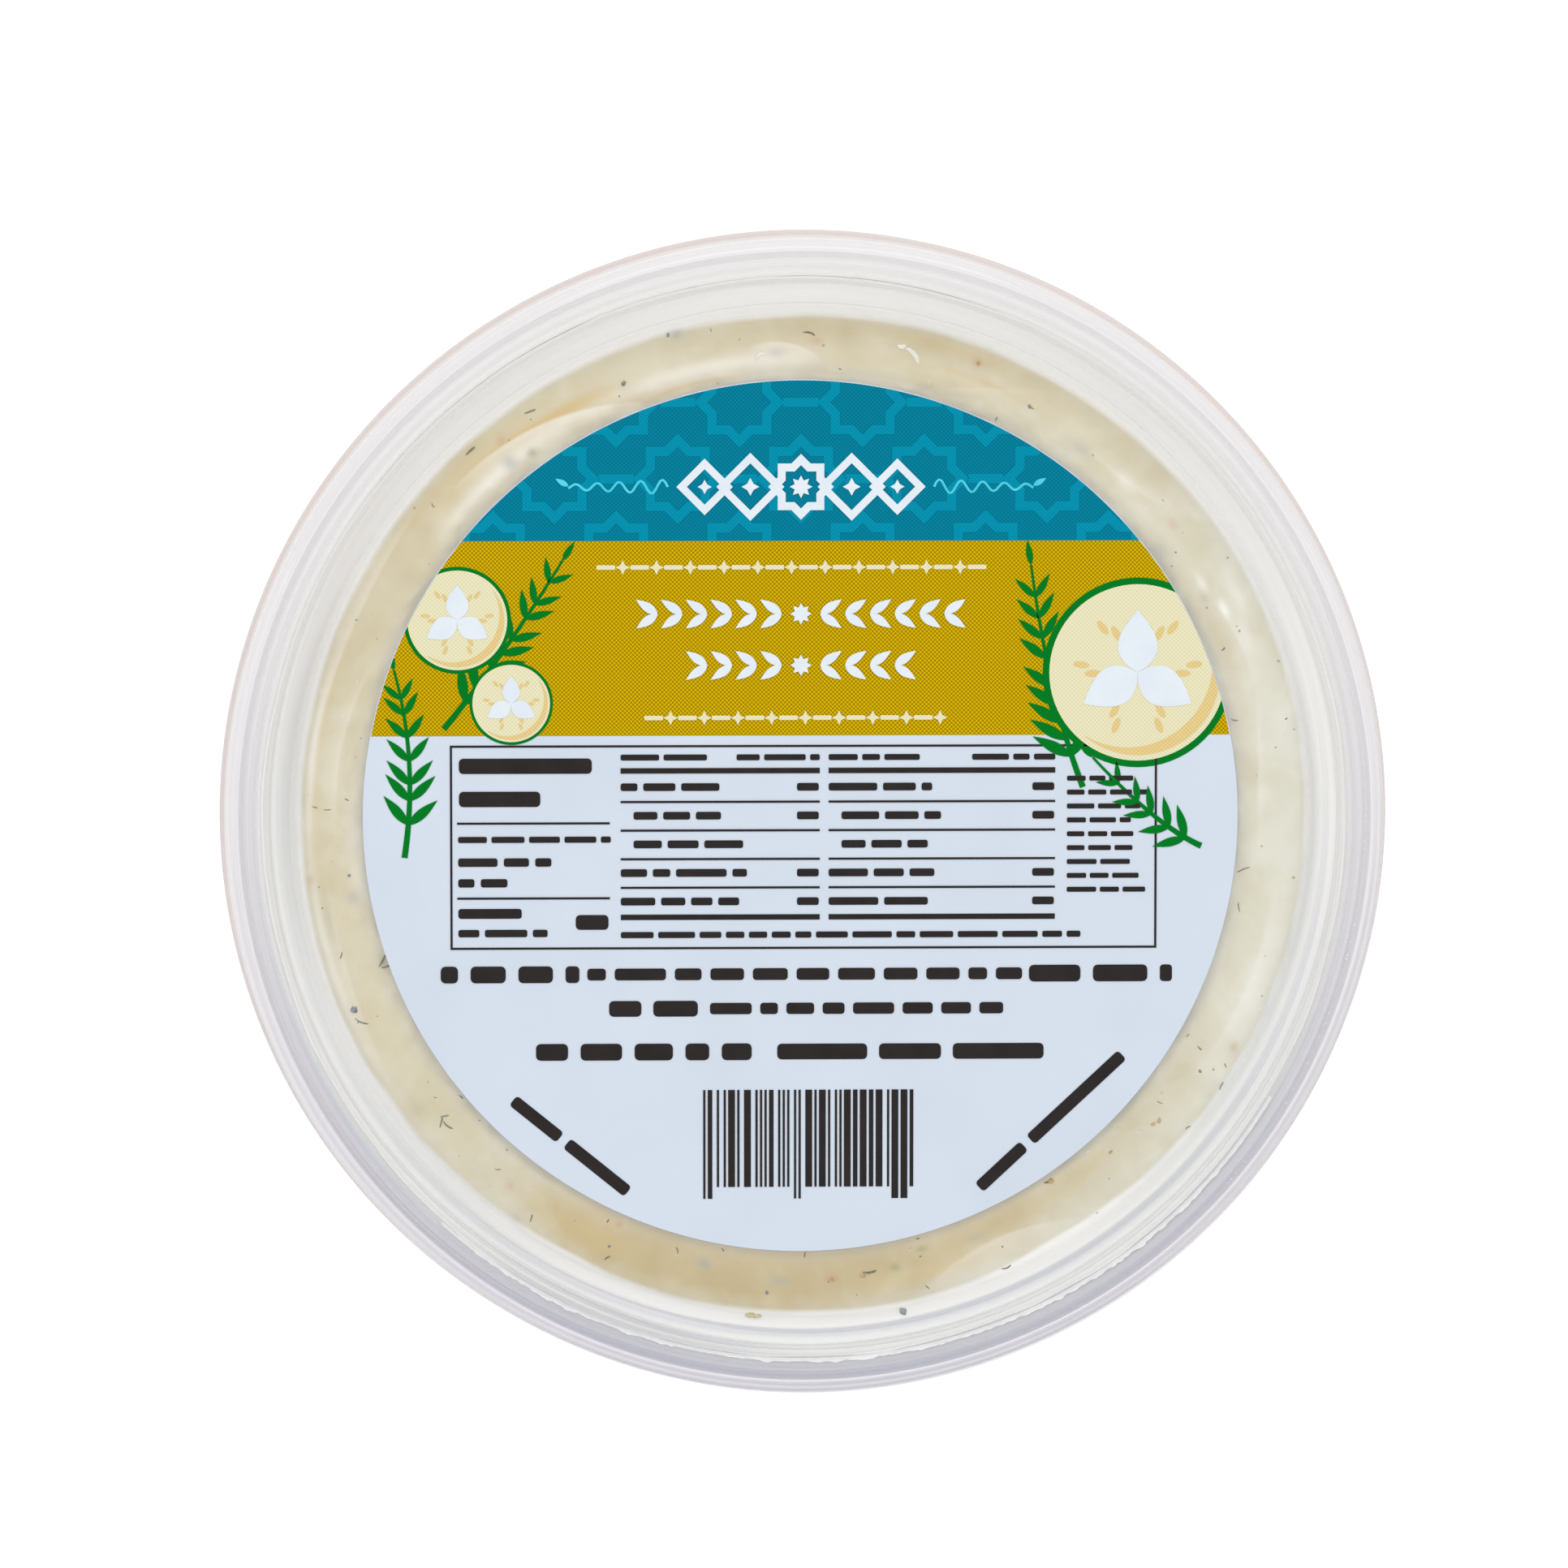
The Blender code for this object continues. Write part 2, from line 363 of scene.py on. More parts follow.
def strained_yogurt():
    """Thick strained yogurt with garlic and herb juices.

    Where air lies over it the yogurt is a pale cream, warmer on one side. It is tan where it wets the lid,
    amber in streaks of garlic oil, and white where lumps of curd or a thin squeezed layer show; it is also
    paler beside the label's edge, which is painted light. Sunk bits tint it softly, and long blue-grey bands
    of painted shade darken its white layer at the sides and towards the foot.
    """
    made, tree, shader, place = new_material("strained_yogurt")
    touch = add(tree, "ShaderNodeAttribute", attribute_name="touch")
    pressed, oily, pale = add(tree, "ShaderNodeSeparateColor", {0: touch}).outputs
    specks_and_shade = add(tree, "ShaderNodeAttribute", attribute_name="specks_and_shade")
    grey, green, rust = add(tree, "ShaderNodeSeparateColor", {0: specks_and_shade}).outputs
    warm = add(tree, "ShaderNodeAttribute", attribute_name="warm").outputs["Fac"]
    soft = {"Detail": 5.0, "Roughness": 0.55, "Distortion": 0.6}
    mottle = add(tree, "ShaderNodeTexNoise", {"Vector": place, "Scale": per_metre(YOGURT_CLOUD), **soft})
    colour, cream, wet = (
        add(tree, "ShaderNodeValToRGB", {0: mottle}, stops=stops)
        for stops in (
            [(0.35, "#D0CCB1"), (0.65, "#DBD9C8")],
            [(0.35, "#CBBD92"), (0.65, "#D4CBAC")],
            [(0.3, "#B6A374"), (0.7, "#C2B185")],
        )
    )
    # The pale channel also carries painted light beside the label's edge, and the grey one bands of painted
    # shade.
    for share, over in (
        (warm, cream),
        (pressed, wet),
        (oily, "#CDB069"),
        (pale, "#FAF9F6"),
        (grey, "#8F9799"),
        (green, "#8F8F5C"),
        (rust, "#C08A68"),
    ):
        colour = add(tree, "ShaderNodeMix", {0: share, 6: colour, 7: over}, data_type="RGBA").outputs[2]
    curd = add(tree, "ShaderNodeTexNoise", {"Vector": place, "Scale": per_metre(YOGURT_CURD), "Detail": 3.0})
    bump = add(tree, "ShaderNodeBump", {"Height": curd, "Strength": 0.25, "Distance": 0.08 * MM})
    fill(tree, shader, {"Base Color": colour, "Normal": bump, "Roughness": 0.42, "IOR": 1.38})
    return made


def mottled(name, dark, light, size, roughness, gloss=0.3):
    """A natural bit or flat ink whose colour wanders between two tones, in spots of a size in millimetres."""
    made, tree, shader, place = new_material(name)
    spots = add(tree, "ShaderNodeTexNoise", {"Vector": place, "Scale": per_metre(size), "Detail": 3.0})
    tone = add(tree, "ShaderNodeValToRGB", {0: spots}, stops=[(0.35, dark), (0.65, light)])
    fill(tree, shader, {"Base Color": tone, "Roughness": roughness, "Specular IOR Level": gloss})
    return made


# Paper fibres are about 0.03 mm wide. They are drawn far coarser, so that they break up the gloss.
PAPER_FIBRE = 0.4167
PAPER_CLOUD = 11.11


def coated_label_paper():
    """Clay-coated label paper: a cool white with a smooth, half-gloss face and a faint cloudiness."""
    made, tree, shader, place = new_material("coated_label_paper")
    cloud = add(tree, "ShaderNodeTexNoise", {"Vector": place, "Scale": per_metre(PAPER_CLOUD), "Detail": 4.0})
    tone = add(tree, "ShaderNodeValToRGB", {0: cloud}, stops=[(0.3, "#C6D0DD"), (0.7, "#CBD5E1")])
    fibre = add(tree, "ShaderNodeTexNoise", {"Vector": place, "Scale": per_metre(PAPER_FIBRE), "Detail": 2.0})
    bump = add(tree, "ShaderNodeBump", {"Height": fibre, "Strength": 0.1, "Distance": 0.02 * MM})
    fill(tree, shader, {"Base Color": tone, "Normal": bump, "Roughness": 0.42})
    return made


# The real screen has dots 0.17 mm apart. It is drawn two and a half times as coarse, so that it still shows.
SCREEN_PITCH = 0.42


def screened_ink(name, dark, light):
    """Process ink on coated paper: a fine screen of dots at 45 degrees, drawn between two tones."""
    made, tree, shader, place = new_material(name)
    pitch = (math.tau * per_metre(SCREEN_PITCH),) * 3
    spread = add(tree, "ShaderNodeMapping", {"Vector": place, "Scale": pitch})
    x, y, _ = add(tree, "ShaderNodeSeparateXYZ", {0: spread}).outputs
    waves = [add(tree, "ShaderNodeMath", {0: axis}, operation="SINE") for axis in (x, y)]
    dots = add(tree, "ShaderNodeMath", {0: waves[0], 1: waves[1]}, operation="MULTIPLY")
    level = add(tree, "ShaderNodeMapRange", {"Value": dots, "From Min": -1.0, "From Max": 1.0, "To Max": 1.0})
    tone = add(tree, "ShaderNodeValToRGB", {0: level}, stops=[(0.25, dark), (0.75, light)])
    fill(tree, shader, {"Base Color": tone, "Roughness": 0.45, "Specular IOR Level": 0.04})
    return made


def rounded(corners):
    """Points along a line of (radius, height, fillet) corners, with each fillet drawn as an arc."""
    line = []
    for index, (x, y, fillet) in enumerate(corners):
        here = Vector((x, y))
        if fillet == 0 or index in (0, len(corners) - 1):
            line.append(here)
            continue
        before = (Vector(corners[index - 1][:2]) - here).normalized()
        after = (Vector(corners[index + 1][:2]) - here).normalized()
        half = before.angle(after) / 2
        centre = here + (before + after).normalized() * (fillet / math.sin(half))
        start = here + before * (fillet / math.tan(half)) - centre
        sweep = start.angle_signed(here + after * (fillet / math.tan(half)) - centre)
        steps = max(2, math.ceil(abs(sweep) / ARC_STEP))
        for step in range(steps + 1):
            turn = -sweep * step / steps
            cosine, sine = math.cos(turn), math.sin(turn)
            spoke = Vector((start.x * cosine - start.y * sine, start.x * sine + start.y * cosine))
            line.append(centre + spoke)
    return line


def shifted(line, distance):
    """The line moved sideways by distance, to its left as it runs."""
    moved = []
    for index, here in enumerate(line):
        into = (here - line[index - 1]).normalized() if index > 0 else None
        out = (line[index + 1] - here).normalized() if index < len(line) - 1 else None
        into, out = into or out, out or into
        bisector = (into + out).normalized()
        left = Vector((-bisector.y, bisector.x))
        mitre = max(SHARPEST_MITRE, left.dot(Vector((-into.y, into.x))))
        moved.append(here + left * (distance / mitre))
    return moved


def capped(rings):
    """Faces between rings of point numbers, and one face that closes either end."""
    return [*ring_faces(rings), tuple(rings[0]), tuple(rings[-1][::-1])]


def mounted(name, mesh, finish):
    """A piece of the object: a mesh in its material, which rides on the frame in a slot."""
    mesh.materials.append(finish)
    piece = bpy.data.objects.new(name, mesh)
    bpy.context.scene.collection.objects.link(piece)
    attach(piece, "root")
    return piece


def keep(name, points, faces, finish):
    """Makes a smooth mesh piece from points in millimetres, with its faces turned outwards."""
    mesh = bpy.data.meshes.new(name)
    mesh.from_pydata((np.asarray(points) * MM).tolist(), [], faces)
    shape = bmesh.new()
    shape.from_mesh(mesh)
    bmesh.ops.recalc_face_normals(shape, faces=shape.faces)
    shape.to_mesh(mesh)
    shape.free()
    mesh.shade_smooth()
    mesh.set_sharp_from_angle(angle=SHARP_ANGLE)
    return mounted(name, mesh, finish)


def turned(name, outline, finish, middle_x=0.0):
    """A solid turned around an upright axis from an outline whose two ends lie on that axis."""
    rows = []
    for radius, height in outline:
        steps = TURN_STEPS if radius > ON_AXIS else 1
        spots = (around(360 * step / TURN_STEPS, radius, height) for step in range(steps))
        rows.append([(middle_x + x, y, z) for x, y, z in spots])
    points, rings = joined(rows, TURN_STEPS)
    return keep(name, points, ring_faces(rings), finish)


def around(bearing, radius, height):
    """The point at a bearing, a radius from the upright axis and a height."""
    turn = math.radians(bearing)
    return radius * math.cos(turn), radius * math.sin(turn), height


def joined(rows, count):
    """All the points of some rows, and each row's numbers among them. A row of one point is a pole."""
    points, rings = [], []
    for row in rows:
        first = len(points)
        rings.append([first] * count if len(row) == 1 else list(range(first, first + count)))
        points += row
    return points, rings


def ring_faces(rings):
    """Faces between rings of point numbers, where a ring of one repeated number is a pole."""
    faces = []
    for one, two in zip(rings, rings[1:]):
        for step in range(len(one)):
            after = (step + 1) % len(one)
            corners = (one[step], one[after], two[after], two[step])
            faces.append(tuple(dict.fromkeys(corners)))
    return faces


def make_lid(finish):
    """The lid: a rounded rim, a recess wall, a groove, a low bead and the flat panel."""
    top = rounded(
        [
            (0, PANEL_TOP, 0),
            (BEAD_INNER - 0.45, PANEL_TOP, 0.3),
            (BEAD_INNER, BEAD_TOP, 0.15),
            (BEAD_OUTER, BEAD_TOP, 0.15),
            (GROOVE_INNER, GROOVE_TOP, 0.2),
            (GROOVE_OUTER, GROOVE_TOP, 0.3),
            (RIM_INNER, RIM_TOP, 0.6),
            (RIM_OUTER, RIM_TOP, 1.3),
            (SKIRT_RADIUS, LID_END + 1.5, 0.9),
            (LID_RADIUS, LID_END, 0),
        ]
    )
    under = rounded(
        [
            (LID_RADIUS - 0.4, LID_END, 0),
            (SKIRT_RADIUS - LID_WALL, LID_END + 1.6, 0.9),
            (RIM_OUTER - LID_WALL, RIM_TOP - LID_WALL, 0.9),
            (RIM_INNER + LID_WALL, RIM_TOP - LID_WALL, 0.5),
            (GROOVE_OUTER + LID_WALL, GROOVE_UNDER, 0.5),
            (BEAD_OUTER, GROOVE_UNDER, 0.3),
            (BEAD_OUTER - 0.4, PANEL_UNDER, 0.2),
            (0, PANEL_UNDER, 0),
        ]
    )
    lid = turned("lid_shell", top + under, finish)
    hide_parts("lid")


def tub_line():
    """Middle of the tub's wall, from the rim's turned-down lip to the middle of its floor."""
    return rounded(
        [
            (TUB_LIP_RADIUS, TUB_LIP_END, 0),
            (TUB_LIP_RADIUS, TUB_RIM_LINE, FILLET),
            (TUB_RIM_INNER, TUB_RIM_LINE, FILLET),
            (TUB_NECK_RADIUS, TUB_SHOULDER_LINE, FILLET),
            (TUB_WALL_TOP_RADIUS, TUB_WALL_TOP_LINE, FILLET),
            (FOOT_RADIUS, FOOT_LINE, 1.6),
            (FOOT_INNER_RADIUS, FOOT_LINE, FILLET),
            (FLOOR_RADIUS, FLOOR_LINE, FILLET),
            (0, FLOOR_LINE, 0),
        ]
    )


def make_tub(finish):
    """The tub: an even wall with a rolled rim, a neck and shoulder, sloping sides and a raised floor."""
    outer = shifted(tub_line(), -WALL / 2)
    inner = shifted(tub_line(), WALL / 2)
    for side in (outer, inner):
        side[-1].x = 0
    tub = turned("tub_shell", inner[::-1] + outer, finish)
    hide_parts("tub")


# Where the dip presses on the lid: bearing, radius, half length in degrees, half width, strength.
PRESSED = (
    (264, 46.6, 27, 4.6, 1.2),
    (243, 47.6, 9, 3.6, 0.5),
    (226, 47.0, 14, 2.6, 0.1),
    (296, 45.2, 16, 2.6, 0.65),
    (150, 47.8, 14, 3.0, 0.18),
    (100, 49.6, 14, 1.0, 0.3),
    (72, 49.5, 16, 1.5, 0.65),
    (72, 46.0, 8, 1.0, 0.35),
    (23, 45.7, 6, 0.9, 0.4),
    (34, 44.7, 14, 0.8, 0.25),
    (44, 49.0, 12, 1.6, 0.2),
    (12, 45.0, 22, 1.3, 0.25),
    (322, 45.2, 14, 1.6, 0.3),
    (316, 47.2, 15, 2.2, 0.24),
    (91, 47.0, 11, 2.4, 0.38),
)
# Where the cream is warmer: the same five values.
WARM = (
    (70, 48.0, 32, 14, 0.7),
    (138, 47.0, 42, 14, 0.95),
    (200, 47.5, 30, 14, 0.8),
)
# Where the white layer under the lid's bead reaches inwards: the same values, the last one in millimetres.
WHITE_BAYS = (
    (300, 50.5, 12, 1.6, 0.7),
    (91, 50.5, 16, 1.2, 0.35),
    (240, 50.5, 8, 1.2, 0.2),
)
# Amber streaks of garlic oil: the same five values.
OILY = (
    (121, 47.6, 7, 0.55, 0.75),
    (131, 48.2, 6, 0.45, 0.6),
    (110, 45.2, 8, 0.7, 0.6),
    (140, 49.6, 14, 0.6, 0.3),
    (66, 47.4, 7, 0.35, 0.4),
    (170, 49.6, 12, 0.5, 0.35),
    (243, 47.8, 5, 1.4, 0.3),
    (288, 48.4, 10, 0.9, 0.35),
)
# Folds, each a sharp line with a shade that fades to either side: its two ends as bearing and radius, how far
# it bows outwards, its shades' width, then amber and pale on its outer side, and the same on its inner one.
FOLDS = (
    (111, 44.9, 137, 48.5, 1.0, 0.9, 0.6, 0.0, 0.0, 0.6),
    (97, 45.0, 114, 44.6, 0.5, 0.5, 0.0, 0.2, 0.5, 0.0),
    (59, 50.0, 76, 44.4, -0.4, 0.35, 0.3, 0.0, 0.0, 0.2),
    (283, 50.4, 306, 50.6, -3.2, 1.6, 0.0, 0.3, 0.0, 0.0),
    (16, 47.4, 28, 46.6, 0.3, 0.9, 0.0, 0.3, 0.0, 0.0),
    (88, 46.4, 97, 47.6, 0.9, 0.6, 0.15, 0.0, 0.0, 0.4),
    (40, 48.0, 52, 46.6, -0.5, 0.8, 0.0, 0.3, 0.1, 0.0),
    (141, 49.8, 172, 50.0, -0.5, 0.7, 0.0, 0.4, 0.0, 0.0),
    (160, 46.0, 182, 47.2, 0.6, 0.9, 0.0, 0.3, 0.0, 0.0),
    (186, 48.6, 214, 49.9, -0.4, 0.9, 0.0, 0.25, 0.0, 0.0),
    (326, 47.4, 352, 48.0, 0.5, 1.0, 0.0, 0.25, 0.0, 0.0),
    (356, 46.0, 376, 47.4, -0.5, 1.1, 0.0, 0.3, 0.0, 0.0),
)
FOLD_BLUR = 0.12
FOLD_LEAD = 60
# Lumps that stand pale and clear of the rest.
PALE = (
    (30.4, 46.5, 1.2, 0.4, 0.5),
    (26.3, 47.3, 1.1, 0.38, 0.7),
    (26.8, 49.1, 2.4, 0.6, 0.3),
    (22.5, 48.2, 2.2, 0.6, 0.25),
    (46, 46.6, 1.6, 0.6, 0.35),
    (104, 46.4, 9, 0.8, 0.45),
    (93, 46.2, 5, 1.2, 0.3),
    (133, 46.4, 8, 0.7, 0.5),
    (173, 50.0, 9, 0.4, 0.5),
    (196, 50.2, 12, 0.5, 0.4),
    (5, 49.4, 16, 1.6, 0.25),
    (182, 45.5, 11, 0.9, 0.16),
    (340, 49.2, 14, 1.6, 0.2),
)
# Flecks sunk just under the surface, so that they show soft: blue-grey, green and rust ones. Among the
# blue-grey ones, long bands on the white layer at the sides and towards the foot are painted shade, not
# flecks.
SUNK_GREY_AND_PAINTED_SHADE = (
    (129.6, 46.5, 0.9, 0.8, 0.55),
    (104.8, 50.4, 0.7, 0.5, 0.6),
    (93.5, 46.9, 1.0, 0.5, 0.35),
    (53.0, 46.4, 1.3, 0.6, 0.35),
    (37.0, 44.9, 1.4, 0.8, 0.3),
    (28.6, 46.0, 0.8, 0.4, 0.3),
    # From here, long bands of painted shade on the white layer under the lid's bead.
    (178.0, 52.2, 26.0, 1.2, 0.4),
    (2.0, 51.5, 28.0, 0.7, 0.34),
    (222.0, 51.0, 18.0, 0.6, 0.2),
    (224.0, 52.4, 15.0, 0.7, 0.2),
    (332.0, 51.1, 22.0, 0.7, 0.22),
    # Sunk flecks again.
    (257.4, 46.7, 0.9, 0.5, 0.6),
    (266.9, 47.4, 1.2, 0.6, 0.4),
    (234.4, 50.2, 0.8, 0.4, 0.3),
    (190.0, 46.4, 0.8, 0.6, 0.4),
    (292.0, 46.4, 1.3, 0.4, 0.35),
)
SUNK_GREEN = (
    (126.7, 45.9, 0.6, 0.5, 0.7),
    (285.1, 45.7, 0.8, 0.35, 0.6),
    (281.3, 46.9, 0.6, 0.4, 0.6),
    (217.1, 49.2, 1.4, 0.8, 0.25),
    (192.0, 49.2, 3.0, 0.5, 0.3),
    (199.0, 45.0, 0.9, 0.4, 0.6),
    (5.0, 48.6, 8.0, 1.4, 0.1),
)
SUNK_RUST = (
    (128.8, 48.8, 0.6, 0.45, 0.5),
    (69.1, 49.0, 0.6, 0.4, 0.7),
    (38.4, 47.4, 0.8, 0.5, 0.35),
    (273.4, 47.3, 0.8, 0.35, 0.7),
    (277.3, 47.1, 0.4, 0.4, 0.6),
    (231.5, 47.9, 0.5, 0.4, 0.5),
    (245.6, 45.6, 0.5, 0.4, 0.6),
    (331.5, 49.6, 0.6, 0.4, 0.5),
    (88.5, 48.1, 0.7, 0.35, 0.5),
    (187.2, 50.3, 0.5, 0.4, 0.5),
    (161.0, 52.1, 13.0, 0.5, 0.14),
    (148.0, 53.2, 10.0, 0.5, 0.1),
)

# Beside the label's edge the dip is painted paler: painted light against the label's shadow, in place of the
# milky lid lighting it from the side. By how much, and over what width.
PAINTED_EDGE_LIGHT = 0.38
EDGE_WIDTH = 0.75

# Where the white layer starts on average, over what width it sets in, and the waves of its edge.
WHITE_EDGE = 50.75
WHITE_BLUR = 0.7
WHITE_WAVES = ((0.3, 14, 7.0), (0.12, 60, 9.0))

# The dip's top: steps around, and radii of its rings of points, which lie closer where it shows.
DIP_STEPS = 720
DIP_RADII = (*np.linspace(4, 43, 10), *np.arange(43.6, 51.6, 0.2), *np.arange(51.7, 53.7, 0.25))
# How deep it lies under the lid where it doesn't press, how rough it is, and how soon a touch is a full one.
DIP_GAP_DEPTH = 0.55
ROUGH_WAVES_PER_MM = 0.35
ROUGH_DETAIL = (0.8, 2.1, 4)
ROUGH_PRESS = 0.16
FULL_PRESS = 1.35
# Where its level part ends, in what waves, and over what width it falls to the level under the lid's groove.
DIP_PLATEAU = 50.5
DIP_EDGE_WAVES = ((0.28, 26, 3.0), (0.14, 90, 5.0))
DIP_FALL = 0.9
DIP_EDGE_LEVEL = GROOVE_UNDER - 0.15
# How high it is squeezed up past the lid: the lowest and highest, the share between them, how much more that
# is towards the label's foot, and the waves of its edge.
SQUEEZE_LOW = GROOVE_UNDER + 0.5
SQUEEZE_HIGH = RIM_TOP - 1.6
SQUEEZE_SHARE = 0.65
SQUEEZE_TILT = 0.175
SQUEEZE_WAVES = ((0.175, 7, 1.0), (0.28, 40, 2.0), (0.1, 110, 4.0))
# Its section: the radius where it starts, its two upper corners, each as a radius and how far it leans out
# for each millimetre of rise, and how much lower the inner one lies.
SQUEEZE_START = 53.85
SQUEEZE_INNER, INNER_LEAN = 53.95, 0.22
SQUEEZE_OUTER, OUTER_LEAN = 54.3, 0.16
SQUEEZE_ROUND = 0.08
# Where its side starts, under the tub's neck.
DIP_SIDE_TOP = TUB_SHOULDER_LINE + 1.2
DIP_SIDE_REACH = TUB_LIP_RADIUS - 1.0
# Its touch, specks and warmth where they don't vary.
MIDDLE_TINT = ((0, 0, 0), (0, 0, 0), 0.5)
EDGE_TINT = ((0, 0, 1), (0, 0, 0), 0.0)
SIDE_TINT = ((0.3, 0, 0), (0, 0, 0), 0.5)


def patches(bearing, radius, marks):
    """How strongly a set of soft-edged marks covers a point, from 0 to 1."""
    total = 0.0
    for middle, ring, half_length, half_width, strength in marks:
        along = ((bearing - middle + 180) % 360 - 180) / half_length
        across = (radius - ring) / half_width
        total += strength * math.exp(-(along**2) - across**2)
    return min(1.0, total)


def clamped(value):
    """The value, held between 0 and 1."""
    return min(1.0, max(0.0, value))


def eased(share):
    """A share from 0 to 1 that starts and ends gently."""
    return share * share * (3 - 2 * share)


def folded(bearing, radius):
    """How amber and how pale the folds make a point, each from 0 to 1."""
    amber, pale = 0.0, 0.0
    for start, start_radius, end, end_radius, bow, width, *shades in FOLDS:
        share = ((bearing - start + FOLD_LEAD) % 360 - FOLD_LEAD) / (end - start)
        if not 0 < share < 1:
            continue
        line = start_radius + (end_radius - start_radius) * share + bow * 4 * share * (1 - share)
        past = radius - line
        outside = 0.5 + 0.5 * math.tanh(past / FOLD_BLUR)
        fade = math.sin(math.pi * share) ** 0.6 * math.exp(-abs(past) / width)
        amber += fade * (shades[0] * outside + shades[2] * (1 - outside))
        pale += fade * (shades[1] * outside + shades[3] * (1 - outside))
    return min(1.0, amber), min(1.0, pale)


def wander(bearing, size, seed):
    """Smooth noise around a full turn, from -1 to 1: size is the number of waves in a turn, roughly."""
    turn = math.radians(bearing)
    spot = Vector((math.cos(turn), math.sin(turn), seed))
    return noise.noise(spot * (size / math.tau) + Vector((seed, 0, 0)))


def ragged(bearing, waves):
    """How far an edge strays at a bearing: each of its waves has a reach, a number in a turn, and a seed."""
    return sum(reach * wander(bearing, size, seed) for reach, size, seed in waves)


def whiteness(bearing, radius):
    """How white the thin layer of dip is under the lid's bead and groove, which starts at an uneven edge."""
    edge = WHITE_EDGE + ragged(bearing, WHITE_WAVES) - patches(bearing, radius, WHITE_BAYS)
    return eased(clamped((radius - edge) / WHITE_BLUR + 0.5))


def dip_point(bearing, radius):
    """Height of the dip's top at a point, and how much it presses on the lid there."""
    rough = noise.fractal(Vector(around(bearing, radius, 0)) * ROUGH_WAVES_PER_MM, *ROUGH_DETAIL)
    pressed = clamped(patches(bearing, radius, PRESSED) + ROUGH_PRESS * rough)
    free = (1 - min(1.0, FULL_PRESS * pressed)) * (1 - 0.5 * patches(bearing, radius, PALE))
    depth = DIP_GAP_DEPTH * free * (0.7 + 0.5 * rough)
    height = PANEL_UNDER + DIP_REACH - max(0.0, depth)
    edge = DIP_PLATEAU + ragged(bearing, DIP_EDGE_WAVES)
    fall = clamped((radius - edge) / DIP_FALL)
    height += (DIP_EDGE_LEVEL - height) * eased(fall)
    return height, pressed * (1 - fall)


def dip_tint(bearing, radius, pressed):
    """What the dip's top shows at a point: its touch with the lid, with painted light beside the label's
    edge, the bits sunk in it, with bands of painted shade among them, and its warmth.
    """
    x, y, _ = around(bearing, radius, 0)
    past_label = max(0.0, math.hypot(x - LABEL_X, y) - LABEL_RADIUS)
    amber, pale = folded(bearing, radius)
    # Painted light: the dip is paler beside the label's edge, against the label's shadow.
    pale += PAINTED_EDGE_LIGHT * math.exp(-past_label / EDGE_WIDTH)
    pale = max(min(1.0, pale + patches(bearing, radius, PALE)), whiteness(bearing, radius))
    touch = (pressed, min(1.0, amber + patches(bearing, radius, OILY)), pale)
    specks_and_shade = [patches(bearing, radius, marks) for marks in (SUNK_GREY_AND_PAINTED_SHADE, SUNK_GREEN, SUNK_RUST)]
    return touch, specks_and_shade, patches(bearing, radius, WARM)


def squeezed_edge(bearing):
    """The dip squeezed up between the lid's recess wall and the tub's neck, as radii and heights."""
    share = SQUEEZE_SHARE - SQUEEZE_TILT * math.sin(math.radians(bearing)) + ragged(bearing, SQUEEZE_WAVES)
    top = SQUEEZE_LOW + (SQUEEZE_HIGH - SQUEEZE_LOW) * clamped(share)
    rise = top - GROOVE_UNDER
    inner = (SQUEEZE_INNER + INNER_LEAN * rise, top - SQUEEZE_ROUND)
    return (SQUEEZE_START, DIP_EDGE_LEVEL), inner, (SQUEEZE_OUTER + OUTER_LEAN * rise, top)


def dip_rows():
    """Rows of the dip's points and their tints, from the middle of its top out, and down to its foot."""
    bearings = [360 * step / DIP_STEPS for step in range(DIP_STEPS)]
    rows = [[((0, 0, PANEL_UNDER - 0.1), *MIDDLE_TINT)]]
    for radius in DIP_RADII:
        row = []
        for bearing in bearings:
            height, pressed = dip_point(bearing, radius)
            row.append((around(bearing, radius, height), *dip_tint(bearing, radius, pressed)))
        rows.append(row)
    edges = [squeezed_edge(bearing) for bearing in bearings]
    for section in zip(*edges):
        rows.append([(around(bearing, *spot), *EDGE_TINT) for bearing, spot in zip(bearings, section)])
    side = shifted(tub_line(), -(WALL / 2 - DIP_REACH))
    side = [point for point in side if point.y < DIP_SIDE_TOP and point.x < DIP_SIDE_REACH]
    for radius, height in side[:-1]:
        rows.append([(around(bearing, radius, height), *SIDE_TINT) for bearing in bearings])
    rows.append([((0, 0, side[-1].y), *SIDE_TINT)])
    return rows


def make_dip(finish):
    """The dip: a top that presses on the lid in places, a thin squeezed-up edge, its side and its foot."""
    spots, rings = joined(dip_rows(), DIP_STEPS)
    points, touch, specks_and_shade, warm = zip(*spots)
    dip = keep("dip_body", points, ring_faces(rings), finish)
    for name, tints in (("touch", touch), ("specks_and_shade", specks_and_shade)):
        layer = dip.data.attributes.new(name, "FLOAT_COLOR", "POINT")
        layer.data.foreach_set("color", np.array([(*tint, 1.0) for tint in tints], np.float32).ravel())
    layer = dip.data.attributes.new("warm", "FLOAT", "POINT")
    layer.data.foreach_set("value", np.array(warm, np.float32))
    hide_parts("dip")


# Dip smeared over the tub's rim, under the lid: from and to which bearing, over how many degrees it tapers,
# where its section starts and bends, how far out it reaches, the waves of its edge, and its step in degrees.
SMEAR_START, SMEAR_END = 228.0, 329.0
SMEAR_TAPER = 9.0
SMEAR_INNER = 54.85
SMEAR_BEND = 55.0
SMEAR_REACH = 55.05
SMEAR_WAVES = ((0.16, 60, 11.0), (0.18, 220, 12.0), (0.2, 600, 13.0))
SMEAR_STEP = 0.25


